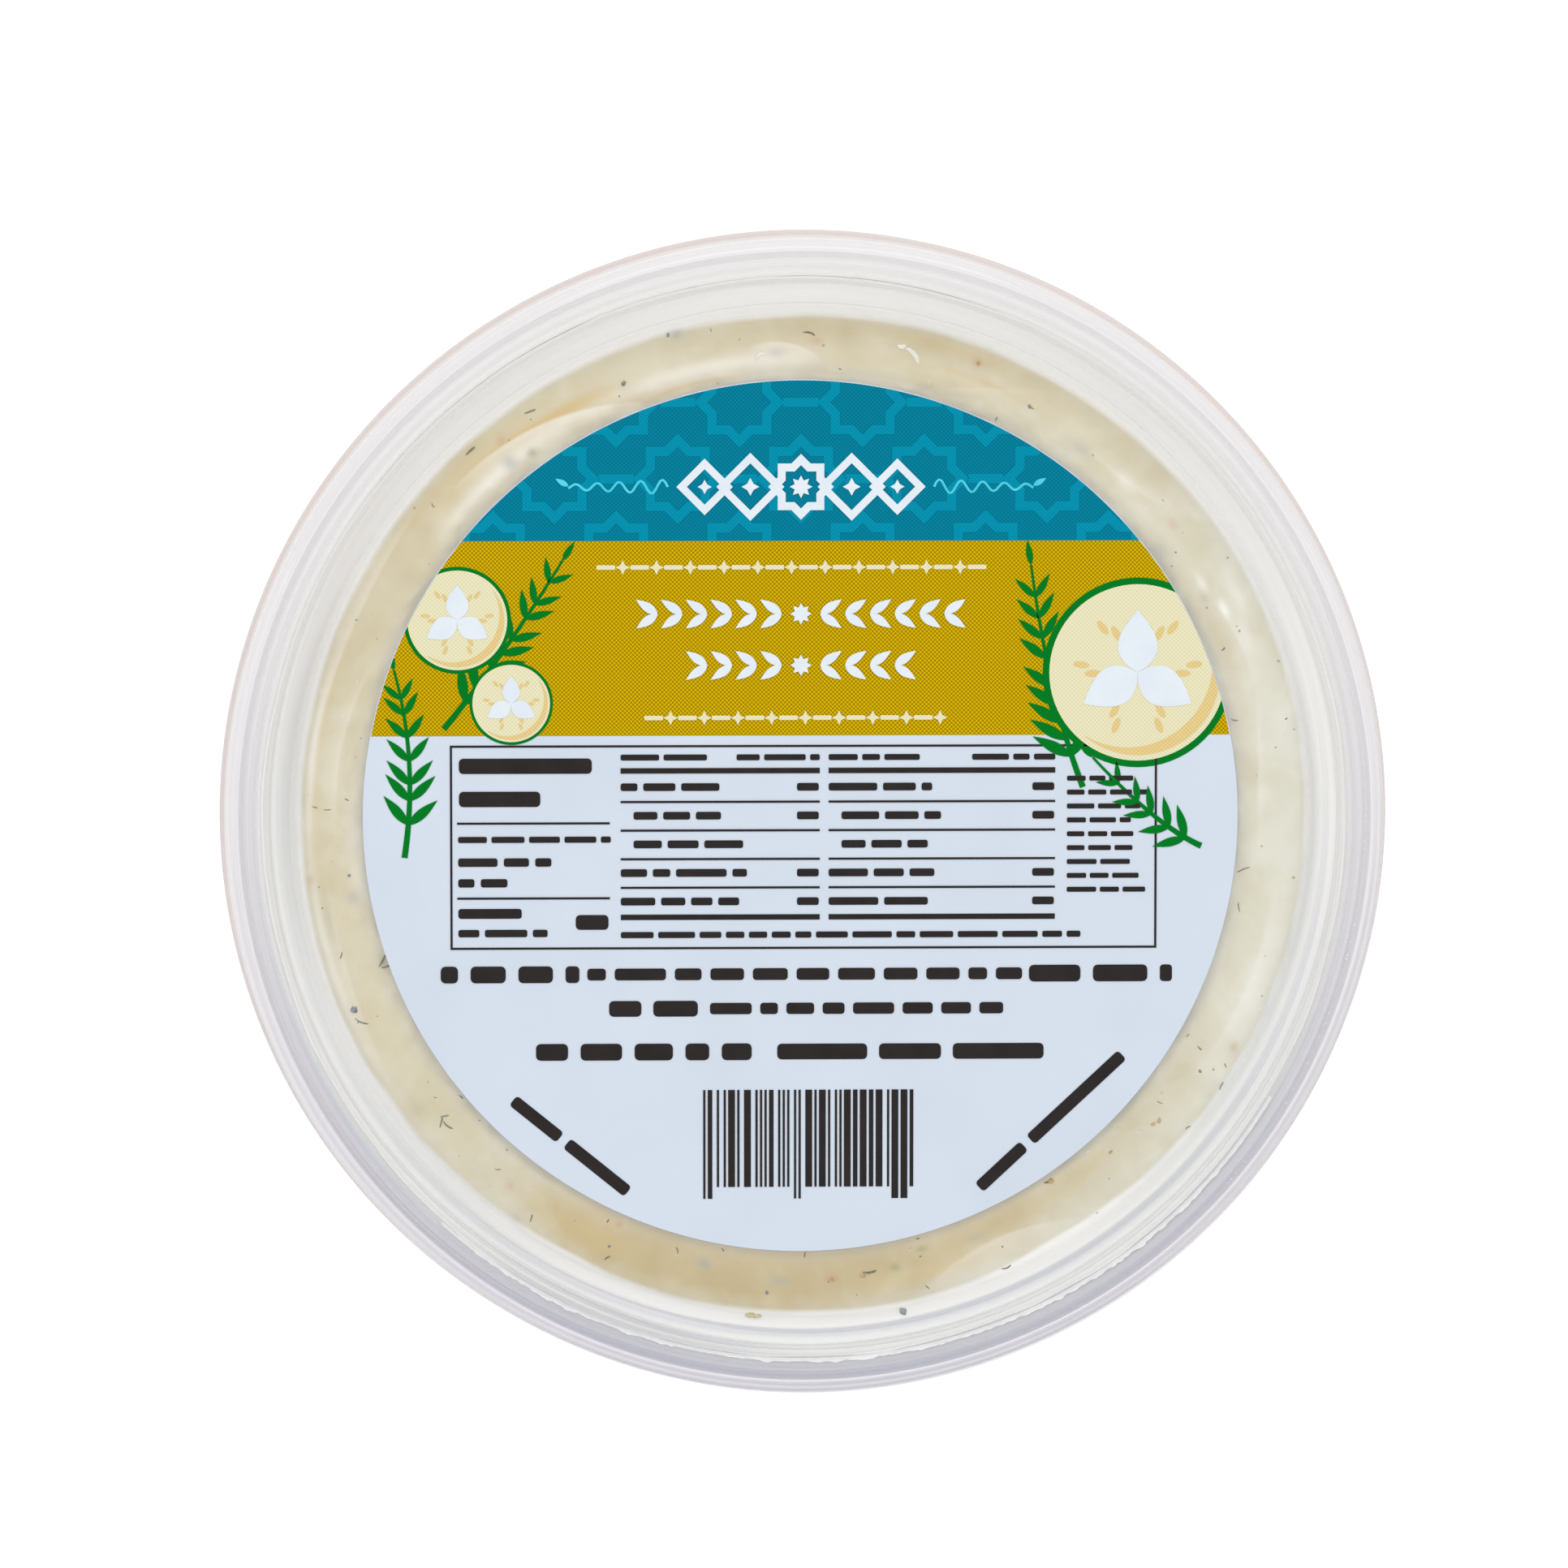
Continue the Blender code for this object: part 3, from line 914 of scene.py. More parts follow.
def make_smear(finish):
    """A thin, ragged smear of dip over the inner edge of the tub's rim, as a closed strip."""
    top = TUB_HIGH.z
    rows = []
    for step in range(round((SMEAR_END - SMEAR_START) / SMEAR_STEP) + 1):
        bearing = SMEAR_START + SMEAR_STEP * step
        taper = min(1.0, (bearing - SMEAR_START) / SMEAR_TAPER, (SMEAR_END - bearing) / SMEAR_TAPER * 2)
        spread = max(0.0, (SMEAR_REACH - SMEAR_BEND + ragged(bearing, SMEAR_WAVES)) * taper)
        reach = SMEAR_BEND + 0.03 + spread
        section = (
            (SMEAR_INNER, top - 0.6),
            (SMEAR_BEND, top - 0.1),
            (reach, top + 0.03),
            (reach - 0.01, top + 0.1),
            (SMEAR_BEND - 0.04, top + 0.1),
            (SMEAR_INNER - 0.07, top - 0.55),
        )
        rows.append([around(bearing, radius, height) for radius, height in section])
    points, rings = joined(rows, len(rows[0]))
    keep("dip_smear", points, capped(rings), finish)


# Bits that lie against the lid and show sharp: bearing, radius, length, thickness, turn in degrees.
DILL = (
    (124.0, 49.4, 1.25, 0.20, 18),
    (132.3, 50.0, 1.30, 0.24, 42),
    (89.5, 48.7, 1.30, 0.22, -16),
    (198.8, 45.1, 1.5, 0.22, 60),
    (199.7, 45.0, 0.9, 0.2, 20),
    (220.2, 48.2, 1.2, 0.18, 75),
    (220.9, 47.8, 1.3, 0.18, -40),
    (219.8, 47.5, 0.9, 0.16, 10),
    (352.9, 44.9, 1.5, 0.14, 22),
    (348.0, 45.1, 1.0, 0.12, 100),
    (303.6, 44.7, 0.9, 0.26, 30),
    (278.1, 46.9, 1.4, 0.22, 8),
    (204.6, 49.4, 1.8, 0.16, -25),
    (246.0, 49.2, 0.7, 0.16, 35),
    (327.0, 50.6, 1.1, 0.14, 62),
    (294.0, 50.4, 1.1, 0.16, 20),
)
PEPPER = (
    (112.6, 47.4, 0.55),
    (105.8, 50.5, 0.5),
    (203.2, 49.6, 0.75),
    (61.3, 47.2, 0.45),
    (327.0, 47.9, 0.35),
    (281.2, 51.55, 0.9),
    (187.3, 46.4, 0.35),
    (265.5, 48.7, 0.35),
    (245.6, 48.0, 0.3),
)
GARLIC = (
    (319.2, 47.6, 0.6),
    (318.4, 47.4, 0.5),
    (312.2, 46.3, 0.45),
    (277.2, 47.2, 0.55),
    (273.4, 47.3, 0.4),
    (69.1, 49.0, 0.4),
    (303.9, 44.9, 0.7),
    (141.5, 50.2, 0.3),
)
# Thin flakes of dried herb, with the same values as the dill.
FLAKES = (
    (264.2, 51.2, 1.75, 0.5, -3),
    (263.8, 51.1, 1.0, 0.4, 14),
    (330.0, 44.9, 0.5, 0.2, 40),
)
# Pale scratches of curd drawn out under the lid, with the same values as the dill.
STREAKS = (
    (316.4, 47.0, 1.3, 0.07, 330),
    (317.2, 47.3, 1.0, 0.06, 325),
    (342.4, 47.6, 1.4, 0.07, 355),
    (344.6, 48.3, 1.6, 0.08, 12),
    (346.0, 47.8, 0.8, 0.06, 20),
    (310.0, 44.8, 0.5, 0.1, 40),
    (172.0, 46.9, 0.6, 0.1, 250),
    (167.5, 47.6, 0.7, 0.1, 240),
    (163.0, 47.2, 0.5, 0.1, 255),
    (77.0, 47.8, 2.2, 0.5, -49),
    (78.4, 48.5, 0.9, 0.45, -5),
    (95.5, 46.7, 1.3, 0.4, 35),
    (74.0, 45.6, 0.7, 0.08, 85),
)
# Droplets between the lid's rim and the tub's: how many, from and to which bearing, at which radius, and
# their smallest and largest size.
DROPLETS = 38
DROPLET_BEARINGS = (-47, 22)
DROPLET_RADIUS = 56.45
DROPLET_SIZES = (0.1, 0.24)
# Loose bits: how many of each, how flat a grain is, and how far a bit's middle lies above the dip.
LOOSE_DILL = 26
LOOSE_PEPPER = 34
LOOSE_GARLIC = 22
PEPPER_FLATNESS = 0.5
GARLIC_FLATNESS = 0.4
BIT_LIFT = 0.03
# A thread: its mesh, its greatest bend as a share of its length, its wobble as a share of its thickness, how
# many wobbles lie in a millimetre, and how flat it is.
THREAD_SIDES, THREAD_STEPS = 7, 9
THREAD_BEND = 0.3
THREAD_WOBBLE, WOBBLES_PER_MM = 0.25, 3
THREAD_FLATNESS = 0.45
# A lump: its mesh, how narrow it may be, and the depth and detail of its unevenness.
LUMP_ROWS, LUMP_SIDES = 6, 9
LUMP_NARROWING = (0.55, 0.95)
LUMP_DEPTH, LUMP_DETAIL = 0.55, 1.6


def lying(bearing, radius):
    """The middle of a bit that lies on the dip, a little above its top."""
    return Vector(around(bearing, radius, dip_point(bearing, radius)[0] + BIT_LIFT))


def thread(bearing, radius, length, thickness, turn, rng):
    """A snipped dill thread: a bent, flattened stem with blunt ends. Returns its points and faces."""
    bend = rng.uniform(-THREAD_BEND, THREAD_BEND)
    along = Vector(around(turn, 1, 0))
    across = Vector((-along.y, along.x, 0))
    middle = lying(bearing, radius)
    rows = []
    for step in range(THREAD_STEPS + 1):
        share = step / THREAD_STEPS
        shape = 2 * share - 1
        centre = middle + along * (length * shape / 2) + across * (length * bend * (1 - shape * shape) / 2)
        centre += across * (THREAD_WOBBLE * thickness * noise.noise(centre * WOBBLES_PER_MM))
        width = thickness / 2 * (max(0.06, 1 - abs(shape) ** 5) ** 0.5) * (0.8 + 0.4 * share)
        row = []
        for side in range(THREAD_SIDES):
            angle = math.tau * side / THREAD_SIDES
            lift = Vector((0, 0, width * THREAD_FLATNESS * math.sin(angle)))
            row.append(centre + across * (width * math.cos(angle)) + lift)
        rows.append(row)
    points, rings = joined(rows, THREAD_SIDES)
    return points, capped(rings)


def grain(bearing, radius, size, flatness, rng):
    """A cracked grain or flake that lies on the dip."""
    return lump(lying(bearing, radius), size, flatness, rng)


def lump(middle, size, flatness, rng):
    """A lumpy, flattened ball of uneven outline. Returns its points and faces."""
    seed = Vector((rng.random(), rng.random(), rng.random())) * 50
    stretch = rng.uniform(*LUMP_NARROWING)
    turn = rng.uniform(0, math.tau)
    rows = []
    for row in range(LUMP_ROWS + 1):
        slope = math.pi * row / LUMP_ROWS
        spots = []
        for side in range(1 if row in (0, LUMP_ROWS) else LUMP_SIDES):
            angle = math.tau * side / LUMP_SIDES
            x, y, z = math.sin(slope) * math.cos(angle), math.sin(slope) * math.sin(angle), math.cos(slope)
            push = 1 + LUMP_DEPTH * noise.noise(Vector((x, y, z)) * LUMP_DETAIL + seed)
            x, y = x * push, y * push * stretch
            x, y = x * math.cos(turn) - y * math.sin(turn), x * math.sin(turn) + y * math.cos(turn)
            spots.append(middle + Vector((x, y, z * push * flatness)) * (size / 2))
        rows.append(spots)
    points, rings = joined(rows, LUMP_SIDES)
    return points, ring_faces(rings)


def gather(name, shapes, finish):
    """Joins many small shapes, each given as points and faces, into one piece."""
    points, faces = [], []
    for some_points, some_faces in shapes:
        first = len(points)
        points += some_points
        faces += [tuple(first + corner for corner in face) for face in some_faces]
    keep(name, [tuple(point) for point in points], faces, finish)


def loose_spot(rng):
    """A random place on the ring of dip that shows between the label and the lid's bead."""
    return rng.uniform(0, 360), rng.uniform(LABEL_RADIUS + 0.3, DIP_PLATEAU)


def make_flecks():
    """Dill threads, cracked pepper and bits of garlic and spice, lying against the lid."""
    rng = random.Random(SEED)
    dill = [thread(*spot, rng) for spot in DILL]
    pepper = [grain(*spot, PEPPER_FLATNESS, rng) for spot in PEPPER]
    garlic = [grain(*spot, GARLIC_FLATNESS, rng) for spot in GARLIC]
    flakes = [thread(*spot, rng) for spot in FLAKES]
    streaks = [thread(*spot, rng) for spot in STREAKS]
    for _ in range(LOOSE_DILL):
        spot = loose_spot(rng)
        dill.append(thread(*spot, rng.uniform(0.3, 0.8), rng.uniform(0.08, 0.14), rng.uniform(0, 360), rng))
    for _ in range(LOOSE_PEPPER):
        pepper.append(grain(*loose_spot(rng), rng.uniform(0.08, 0.22), PEPPER_FLATNESS, rng))
    for _ in range(LOOSE_GARLIC):
        garlic.append(grain(*loose_spot(rng), rng.uniform(0.12, 0.3), GARLIC_FLATNESS, rng))
    # Dried dill gives dark olive threads that look matt.
    gather("dill_bits", dill, mottled("dried_dill", "#45451F", "#7A763C", 0.4, 0.6))
    # Cracked black pepper reads slate grey through the hazy lid.
    gather("pepper_bits", pepper, mottled("cracked_black_pepper", "#3D4350", "#7C8494", 0.25, 0.6))
    # Roasted garlic browns to tan.
    gather("garlic_bits", garlic, mottled("roasted_garlic", "#A88642", "#C2A662", 0.3333, 0.5))
    # Leaf of a lighter herb dries to an olive yellow.
    gather("herb_flakes", flakes, mottled("dried_herb_leaf", "#A39A45", "#CFC382", 0.3333, 0.5))
    # Curd drawn out thin stays whiter than the rest.
    gather("curd_streaks", streaks, mottled("drawn_curd", "#DCD9CE", "#E6E4DC", 0.3333, 0.4))


def make_droplets():
    """Droplets of whey caught between the lid's rim and the tub's, which look like white dots."""
    rng = random.Random(SEED + 3)
    height = (TUB_HIGH.z + RIM_TOP - LID_WALL) / 2
    drops = []
    for _ in range(DROPLETS):
        bearing = rng.uniform(*DROPLET_BEARINGS)
        middle = Vector(around(bearing, DROPLET_RADIUS + rng.gauss(0, 0.05), height))
        drops.append(lump(middle, rng.uniform(*DROPLET_SIZES), 1.0, rng))
    gather("rim_droplets", drops, mottled("dried_whey", "#F4F4F2", "#FFFFFF", 0.3333, 0.3))


# The label: its paper's thickness and bevel, the bare rim that the print leaves, the ring at the print's edge
# where shapes are cut, and how far one ink lies above another.
PAPER_THICKNESS = 0.12
PAPER_BEVEL = 0.03
PAPER_EDGE = 0.1
EDGE_MARGIN = 0.1
PAPER_TOP = PANEL_TOP + PAPER_THICKNESS
INK_STEP = 0.025
# Shapes of one ink that overlap are set apart by a hair, in turn, so that no two faces lie in one plane.
HAIR = 0.0012
HAIR_TURNS = 16
DISC_STEPS = 240
SLICE_STEPS = 72
CURVE_STEPS = 24
LEAF_STEPS = 12
BAR_ROUNDING = 0.28

# Fields of the print, as heights on the label.
TEAL_LOW = 27.95
MUSTARD_LOW = 8.3
# The tile emblem: its height on the label, its stars, its lines, and its diamonds as place, size and star.
EMBLEM_Y = 33.4
EMBLEM_STAR, EMBLEM_HEART = 2.75, 1.15
EMBLEM_LINE, DIAMOND_LINE = 0.8, 0.75
EMBLEM_DIAMONDS = ((5.1, 2.9, 0.9), (9.7, 2.32, 0.72))
# The waves beside it, which fade outwards, and the leaf at the end of each: size, place and lean in degrees.
WAVE_START, WAVE_STEP, WAVE_STEPS = 13.4, 0.25, 40
WAVE_HEIGHT, WAVE_TURN, WAVE_FADE = 0.75, 0.72, 60
WAVE_LINE = 0.24
WAVE_LEAF, WAVE_LEAF_X, WAVE_LEAF_LEAN = (1.5, 0.55), 23.4, 60
# The borders of dashes and of leaves, each as a height on the label and half its length, and their parts.
DASHES = ((25.3, 20.6), (10.1, 15.8))
DASH, DASH_PITCH = 1.9, 3.4
DASH_LINE = 0.46
DASH_DIAMOND = 0.75
VINES = ((20.6, 16.9), (15.4, 11.9))
VINE_LEAF, VINE_PITCH = 2.6, 2.5
VINE_LEAN = 34


def disc(radius):
    """The outline of a round disc, anticlockwise."""
    return oval(radius, radius, DISC_STEPS)


def clipped(outline, inside, crossing):
    """The part of an outline that a test keeps: crossing finds where an edge leaves it."""
    made = []
    for one, two in zip(outline, outline[1:] + outline[:1]):
        if inside(one):
            made.append(one)
        if inside(one) != inside(two):
            made.append(crossing(one, two))
    return made


def above(outline, level, side=1):
    """The part of an outline above a height, or below it when side is -1."""

    def crossing(one, two):
        share = (level - one[1]) / (two[1] - one[1])
        return (one[0] + share * (two[0] - one[0]), level)

    return clipped(outline, lambda point: side * (point[1] - level) >= 0, crossing)


def within(outline, region):
    """The part of an outline inside a convex, anticlockwise region."""
    for start, end in zip(region, region[1:] + region[:1]):
        across = (start[1] - end[1], end[0] - start[0])

        def depth(point):
            return (point[0] - start[0]) * across[0] + (point[1] - start[1]) * across[1]

        if all(depth(point) >= 0 for point in outline):
            continue

        def crossing(one, two):
            share = depth(one) / (depth(one) - depth(two))
            return (one[0] + share * (two[0] - one[0]), one[1] + share * (two[1] - one[1]))

        outline = clipped(outline, lambda point: depth(point) >= 0, crossing)
        if not outline:
            return []
    return outline


def film(name, outlines, level, finish):
    """One ink: flat shapes cut to the label's edge, each a thin solid that stands on the paper."""
    print_radius = LABEL_RADIUS - PAPER_EDGE
    edge = disc(print_radius)
    shape = bmesh.new()
    for index, outline in enumerate(outlines):
        top = PAPER_TOP + level * INK_STEP + HAIR * (index % HAIR_TURNS)
        if any(math.hypot(*point) > print_radius - EDGE_MARGIN for point in outline):
            outline = within(outline, edge)
        if len(outline) < 3:
            continue
        upper = [shape.verts.new((LABEL_X + x, y, top)) for x, y in outline]
        lower = [shape.verts.new((LABEL_X + x, y, PAPER_TOP - INK_STEP)) for x, y in outline]
        shape.faces.new(upper)
        shape.faces.new(lower[::-1])
        for one, two in zip(range(-1, len(outline) - 1), range(len(outline))):
            shape.faces.new((upper[one], lower[one], lower[two], upper[two]))
    shape.normal_update()
    bmesh.ops.triangulate(shape, faces=[face for face in shape.faces if len(face.verts) > 4])
    bmesh.ops.recalc_face_normals(shape, faces=shape.faces)
    bmesh.ops.scale(shape, vec=(MM, MM, MM), verts=shape.verts)
    mesh = bpy.data.meshes.new(name)
    shape.to_mesh(mesh)
    shape.free()
    mounted(name, mesh, finish)


def placed(outline, x, y, turn=0.0):
    """An outline turned by degrees and moved to a place."""
    cosine, sine = math.cos(math.radians(turn)), math.sin(math.radians(turn))
    return [(x + u * cosine - v * sine, y + u * sine + v * cosine) for u, v in outline]


def oval(half_length, half_width, steps=28):
    """An oval around the middle."""
    return [
        (half_length * math.cos(math.tau * step / steps), half_width * math.sin(math.tau * step / steps))
        for step in range(steps)
    ]


def bar(length, height):
    """A bar with softened corners, around the middle."""
    radius = BAR_ROUNDING * min(height, length)
    made = []
    for corner, (side, level) in enumerate(((1, 1), (-1, 1), (-1, -1), (1, -1))):
        for step in range(4):
            angle = math.pi / 2 * (corner + step / 3)
            x = side * (length / 2 - radius) + radius * math.cos(angle)
            made.append((x, level * (height / 2 - radius) + radius * math.sin(angle)))
    return made


def block(low_x, low_y, high_x, high_y):
    """A plain rectangle."""
    return [(low_x, low_y), (high_x, low_y), (high_x, high_y), (low_x, high_y)]


def leaf(length, width):
    """A pointed leaf that grows along +X from the middle, fullest before its half."""
    shares = [step / LEAF_STEPS for step in range(LEAF_STEPS + 1)]
    upper = [(length * share, width / 2 * math.sin(math.pi * share**0.8)) for share in shares]
    return [(x, -y) for x, y in upper] + upper[-2:0:-1]


def stroke(points, width, taper=1.0):
    """An open line drawn with a pen: width at its start, and taper times that at its end."""
    left, right = [], []
    for index, (x, y) in enumerate(points):
        before = points[max(0, index - 1)]
        after = points[min(len(points) - 1, index + 1)]
        run, rise = after[0] - before[0], after[1] - before[1]
        size = math.hypot(run, rise)
        share = index / (len(points) - 1)
        half = width / 2 * (1 + (taper - 1) * share)
        left.append((x - rise / size * half, y + run / size * half))
        right.append((x + rise / size * half, y - run / size * half))
    return right + left[::-1]


def loop_strip(points, width):
    """A closed line of even width, as one four-cornered piece for each of its sides."""
    inner, outer = [], []
    corners = [Vector(point) for point in points]
    for before, here, after in zip(corners[-1:] + corners[:-1], corners, corners[1:] + corners[:1]):
        into, out = (here - before).normalized(), (after - here).normalized()
        bisector = (into + out).normalized()
        side = Vector((-bisector.y, bisector.x))
        reach = width / 2 / side.dot(Vector((-into.y, into.x)))
        inner.append(tuple(here + side * reach))
        outer.append(tuple(here - side * reach))
    count = len(points)
    return [[outer[i], outer[(i + 1) % count], inner[(i + 1) % count], inner[i]] for i in range(count)]


def star(x, y, radius, points=8, notch=0.765):
    """The corners of a star, with its notches at a share of its radius."""
    corners = []
    for step in range(2 * points):
        reach = radius * (notch if step % 2 else 1)
        angle = math.pi * step / points
        corners.append((x + reach * math.cos(angle), y + reach * math.sin(angle)))
    return corners


# The lattice: height of its middle row, distance of its stars, rows by a share of that, star and line.
LATTICE_MIDDLE = 34.2
LATTICE_PERIOD = 12.4
LATTICE_SQUASH = 0.62
LATTICE_STAR = 3.9
LATTICE_LINE = 0.95


def lattice():
    """A star-and-diamond lattice, as on tiles: rows of stars joined by bars, with diamonds between."""
    made = []
    tip = LATTICE_STAR + LATTICE_LINE * 0.55
    for row in (-1, 0, 1):
        y = LATTICE_MIDDLE + row * LATTICE_PERIOD * LATTICE_SQUASH
        for column in range(-4, 5):
            x = (column + 0.5 * (row % 2)) * LATTICE_PERIOD
            made += loop_strip(star(x, y, LATTICE_STAR), LATTICE_LINE)
            made.append(block(x + tip, y - LATTICE_LINE / 2, x + LATTICE_PERIOD - tip, y + LATTICE_LINE / 2))
    return made


# Cucumber slices on the label: middle and radius.
SLICES = (
    (34.0, 14.6, 9.6),
    (-34.6, 20.0, 5.4),
    (-29.2, 11.6, 4.2),
)
# A slice's parts, as shares of its radius: its flesh, its curved shadow, its three lobes, and the rows of
# seeds on either side of a lobe's middle, with their bearings in degrees.
SLICE_FLESH = 0.93
SHADOW_RADIUS, SHADOW_WIDTH = 0.87, 0.12
SHADOW_START, SHADOW_END = -130, 40
LOBE_LENGTH, LOBE_WIDTH = 0.66, 0.42
LOBE_BEARINGS = (90, 210, 330)
PIP_LENGTH, PIP_WIDTH, PIP_STEPS = 0.085, 0.035, 14
PIP_ROWS, PIP_START, PIP_PITCH = 3, 0.34, 0.13
PIP_SPREAD, PIP_FAN = 20, 9
# Herb sprigs on the label: the stem's foot, bend and tip, how many pairs of leaves, and the largest leaf.
SPRIGS = (
    ((28.5, 3.0), (25.0, 12.0), (23.2, 25.5), 9, 4.6),
    ((40.5, -3.0), (36.0, -1.0), (29.5, 6.0), 5, 3.6),
    ((-40.0, -4.0), (-38.5, 6.0), (-41.0, 15.0), 7, 4.0),
    ((-36.0, 9.0), (-29.5, 17.0), (-24.0, 26.0), 8, 4.2),
)


def make_print():
    """The label's print: fields of teal and mustard, and generic herb, slice and border motifs."""
    rng = random.Random(SEED + 5)
    whole = disc(LABEL_RADIUS)
    teal_field = above(whole, TEAL_LOW)
    mustard_field = above(above(whole, MUSTARD_LOW), TEAL_LOW, -1)
    lines = [above(within(piece, whole), TEAL_LOW) for piece in lattice()]
    lines = [line for line in lines if len(line) > 2]
    film("print_teal", [teal_field], 1, screened_ink("teal_process_ink", "#006B83", "#007D99"))
    film("print_mustard", [mustard_field], 1, screened_ink("mustard_process_ink", "#8E7300", "#D2AF00"))
    film("print_lattice", lines, 2, screened_ink("light_teal_process_ink", "#00819D", "#008CA8"))
    green, cream, tan, white, black, cyan = ([] for _ in range(6))
    for spot in SLICES:
        draw_slice(*spot, green, cream, tan, white)
    for sprig in SPRIGS:
        draw_sprig(*sprig, green)
    draw_borders(white, cream, cyan)
    draw_table(black, rng)
    for row in OUTER_ROWS:
        bar_row(black, rng, *row)
    draw_stripes(black, rng)
    film("print_green", green, 2, screened_ink("green_process_ink", "#006C1B", "#007825"))
    film("print_cream", cream, 3, screened_ink("cream_process_ink", "#D6CFA2", "#E0DCC0"))
    film("print_tan", tan, 4, screened_ink("tan_process_ink", "#D3B674", "#DEC88E"))
    film("print_white", white, 5, mottled("opaque_white_ink", "#D5DEE6", "#DBE2E9", 2.5, 0.4))
    film("print_cyan", cyan, 3, mottled("cyan_process_ink", "#3CBFD6", "#52CDE0", 2.5, 0.4))
    film("print_black", black, 2, mottled("black_process_ink", "#181210", "#201917", 2.5, 0.4))


def draw_slice(x, y, radius, green, cream, tan, white):
    """A round cucumber slice: green skin, cream flesh, a tan shadow and three lobes of seeds."""
    green.append(placed(oval(radius, radius, SLICE_STEPS), x, y))
    cream.append(placed(oval(radius * SLICE_FLESH, radius * SLICE_FLESH, SLICE_STEPS), x, y))
    tan += crescent(x, y, radius * SHADOW_RADIUS, radius * SHADOW_WIDTH, SHADOW_START, SHADOW_END)
    for middle in LOBE_BEARINGS:
        white.append(placed(leaf(radius * LOBE_LENGTH, radius * LOBE_WIDTH), x, y, middle))
        for side in (-1, 1):
            for row in range(PIP_ROWS):
                turn = middle + side * (PIP_SPREAD + PIP_FAN * row)
                pip = oval(radius * PIP_LENGTH, radius * PIP_WIDTH, PIP_STEPS)
                pip = placed(pip, radius * (PIP_START + PIP_PITCH * row), 0)
                tan.append(placed(pip, x, y, turn))


def crescent(x, y, radius, width, start, end):
    """A curved shadow that is full in its middle and fades at its ends, as one four-cornered piece a step."""
    ribs = []
    for step in range(CURVE_STEPS + 1):
        share = step / CURVE_STEPS
        angle = math.radians(start + (end - start) * share)
        inner = radius - width * math.sin(math.pi * share) - 0.02
        ribs.append([(x + r * math.cos(angle), y + r * math.sin(angle)) for r in (inner, radius)])
    return [[one[0], one[1], two[1], two[0]] for one, two in zip(ribs, ribs[1:])]


def draw_sprig(start, bend, end, pairs, size, green):
    """A leafy herb sprig along a bent stem, with pairs of narrow leaves that shorten towards its tip."""
    start, bend, end = Vector(start), Vector(bend), Vector(end)
    stem = []
    for step in range(CURVE_STEPS + 1):
        share = step / CURVE_STEPS
        here = start * (1 - share) ** 2 + bend * (2 * share * (1 - share)) + end * share**2
        stem.append(tuple(here))
    green.append(stroke(stem, 0.62, 0.4))
    for pair in range(pairs):
        share = 0.16 + 0.8 * pair / pairs
        index = round(share * CURVE_STEPS)
        ahead, behind = stem[index + 1], stem[index - 1]
        heading = math.degrees(math.atan2(ahead[1] - behind[1], ahead[0] - behind[0]))
        length = size * (1.05 - 0.5 * share)
        for side in (-1, 1):
            green.append(placed(leaf(length, length * 0.26), *stem[index], heading + side * (46 - 8 * share)))
    green.append(placed(leaf(size * 0.55, size * 0.15), *stem[-1], heading))


def draw_vine(y, half_length, ink):
    """A straight border of leaves, which point away from a small star in the middle."""
    ink.append(star(0, y, VINE_LEAF * 0.42, 8, 0.62))
    for side in (-1, 1):
        reach = VINE_LEAF * 0.75
        while reach + VINE_LEAF * 0.8 < half_length:
            for lean in (-1, 1):
                turn = (0 if side > 0 else 180) + lean * VINE_LEAN
                ink.append(placed(leaf(VINE_LEAF, VINE_LEAF * 0.36), side * reach, y, turn))
            reach += VINE_PITCH


def draw_dashes(y, half_length, ink):
    """A fine border of dashes and small diamonds."""
    place = -half_length + DASH / 2
    while place <= half_length - DASH / 2 + 0.01:
        ink.append(placed(bar(DASH, DASH_LINE), place, y))
        if place + DASH_PITCH <= half_length:
            ink.append(star(place + DASH_PITCH / 2, y, DASH_DIAMOND, 4, 0.45))
        place += DASH_PITCH


def draw_borders(white, cream, cyan):
    """The ornaments: a tile emblem and two flourishes on the teal, and leaf borders on the mustard."""
    white += loop_strip(star(0, EMBLEM_Y, EMBLEM_STAR), EMBLEM_LINE)
    white.append(star(0, EMBLEM_Y, EMBLEM_HEART, 8, 0.6))
    for side in (-1, 1):
        for x, size, heart in EMBLEM_DIAMONDS:
            white += loop_strip(placed(oval(size, size, 4), side * x, EMBLEM_Y), DIAMOND_LINE)
            white.append(star(side * x, EMBLEM_Y, heart, 4, 0.5))
        wave = []
        for step in range(WAVE_STEPS + 1):
            rise = WAVE_HEIGHT * math.sin(WAVE_TURN * step) * (1 - step / WAVE_FADE)
            wave.append((side * (WAVE_START + WAVE_STEP * step), EMBLEM_Y + rise))
        cyan.append(stroke(wave, WAVE_LINE))
        lean = 90 - side * WAVE_LEAF_LEAN
        cyan.append(placed(leaf(*WAVE_LEAF), side * WAVE_LEAF_X, EMBLEM_Y + 0.1, lean))
    for y, half_length in DASHES:
        draw_dashes(y, half_length, cream)
    for y, half_length in VINES:
        draw_vine(y, half_length, white)


def bar_row(ink, rng, low_x, high_x, y, height, shortest=1.6, longest=5.2, turn=0.0, middle=(0.0, 0.0)):
    """A row of plain bars of uneven length, between two places along X or along a turned line."""
    x = low_x
    while x < high_x - shortest * 0.6:
        length = min(rng.uniform(shortest, longest), high_x - x)
        spot = placed([(x + length / 2, y)], *middle, turn)[0]
        ink.append(placed(bar(length, height), *spot, turn))
        x += length + height * 0.75


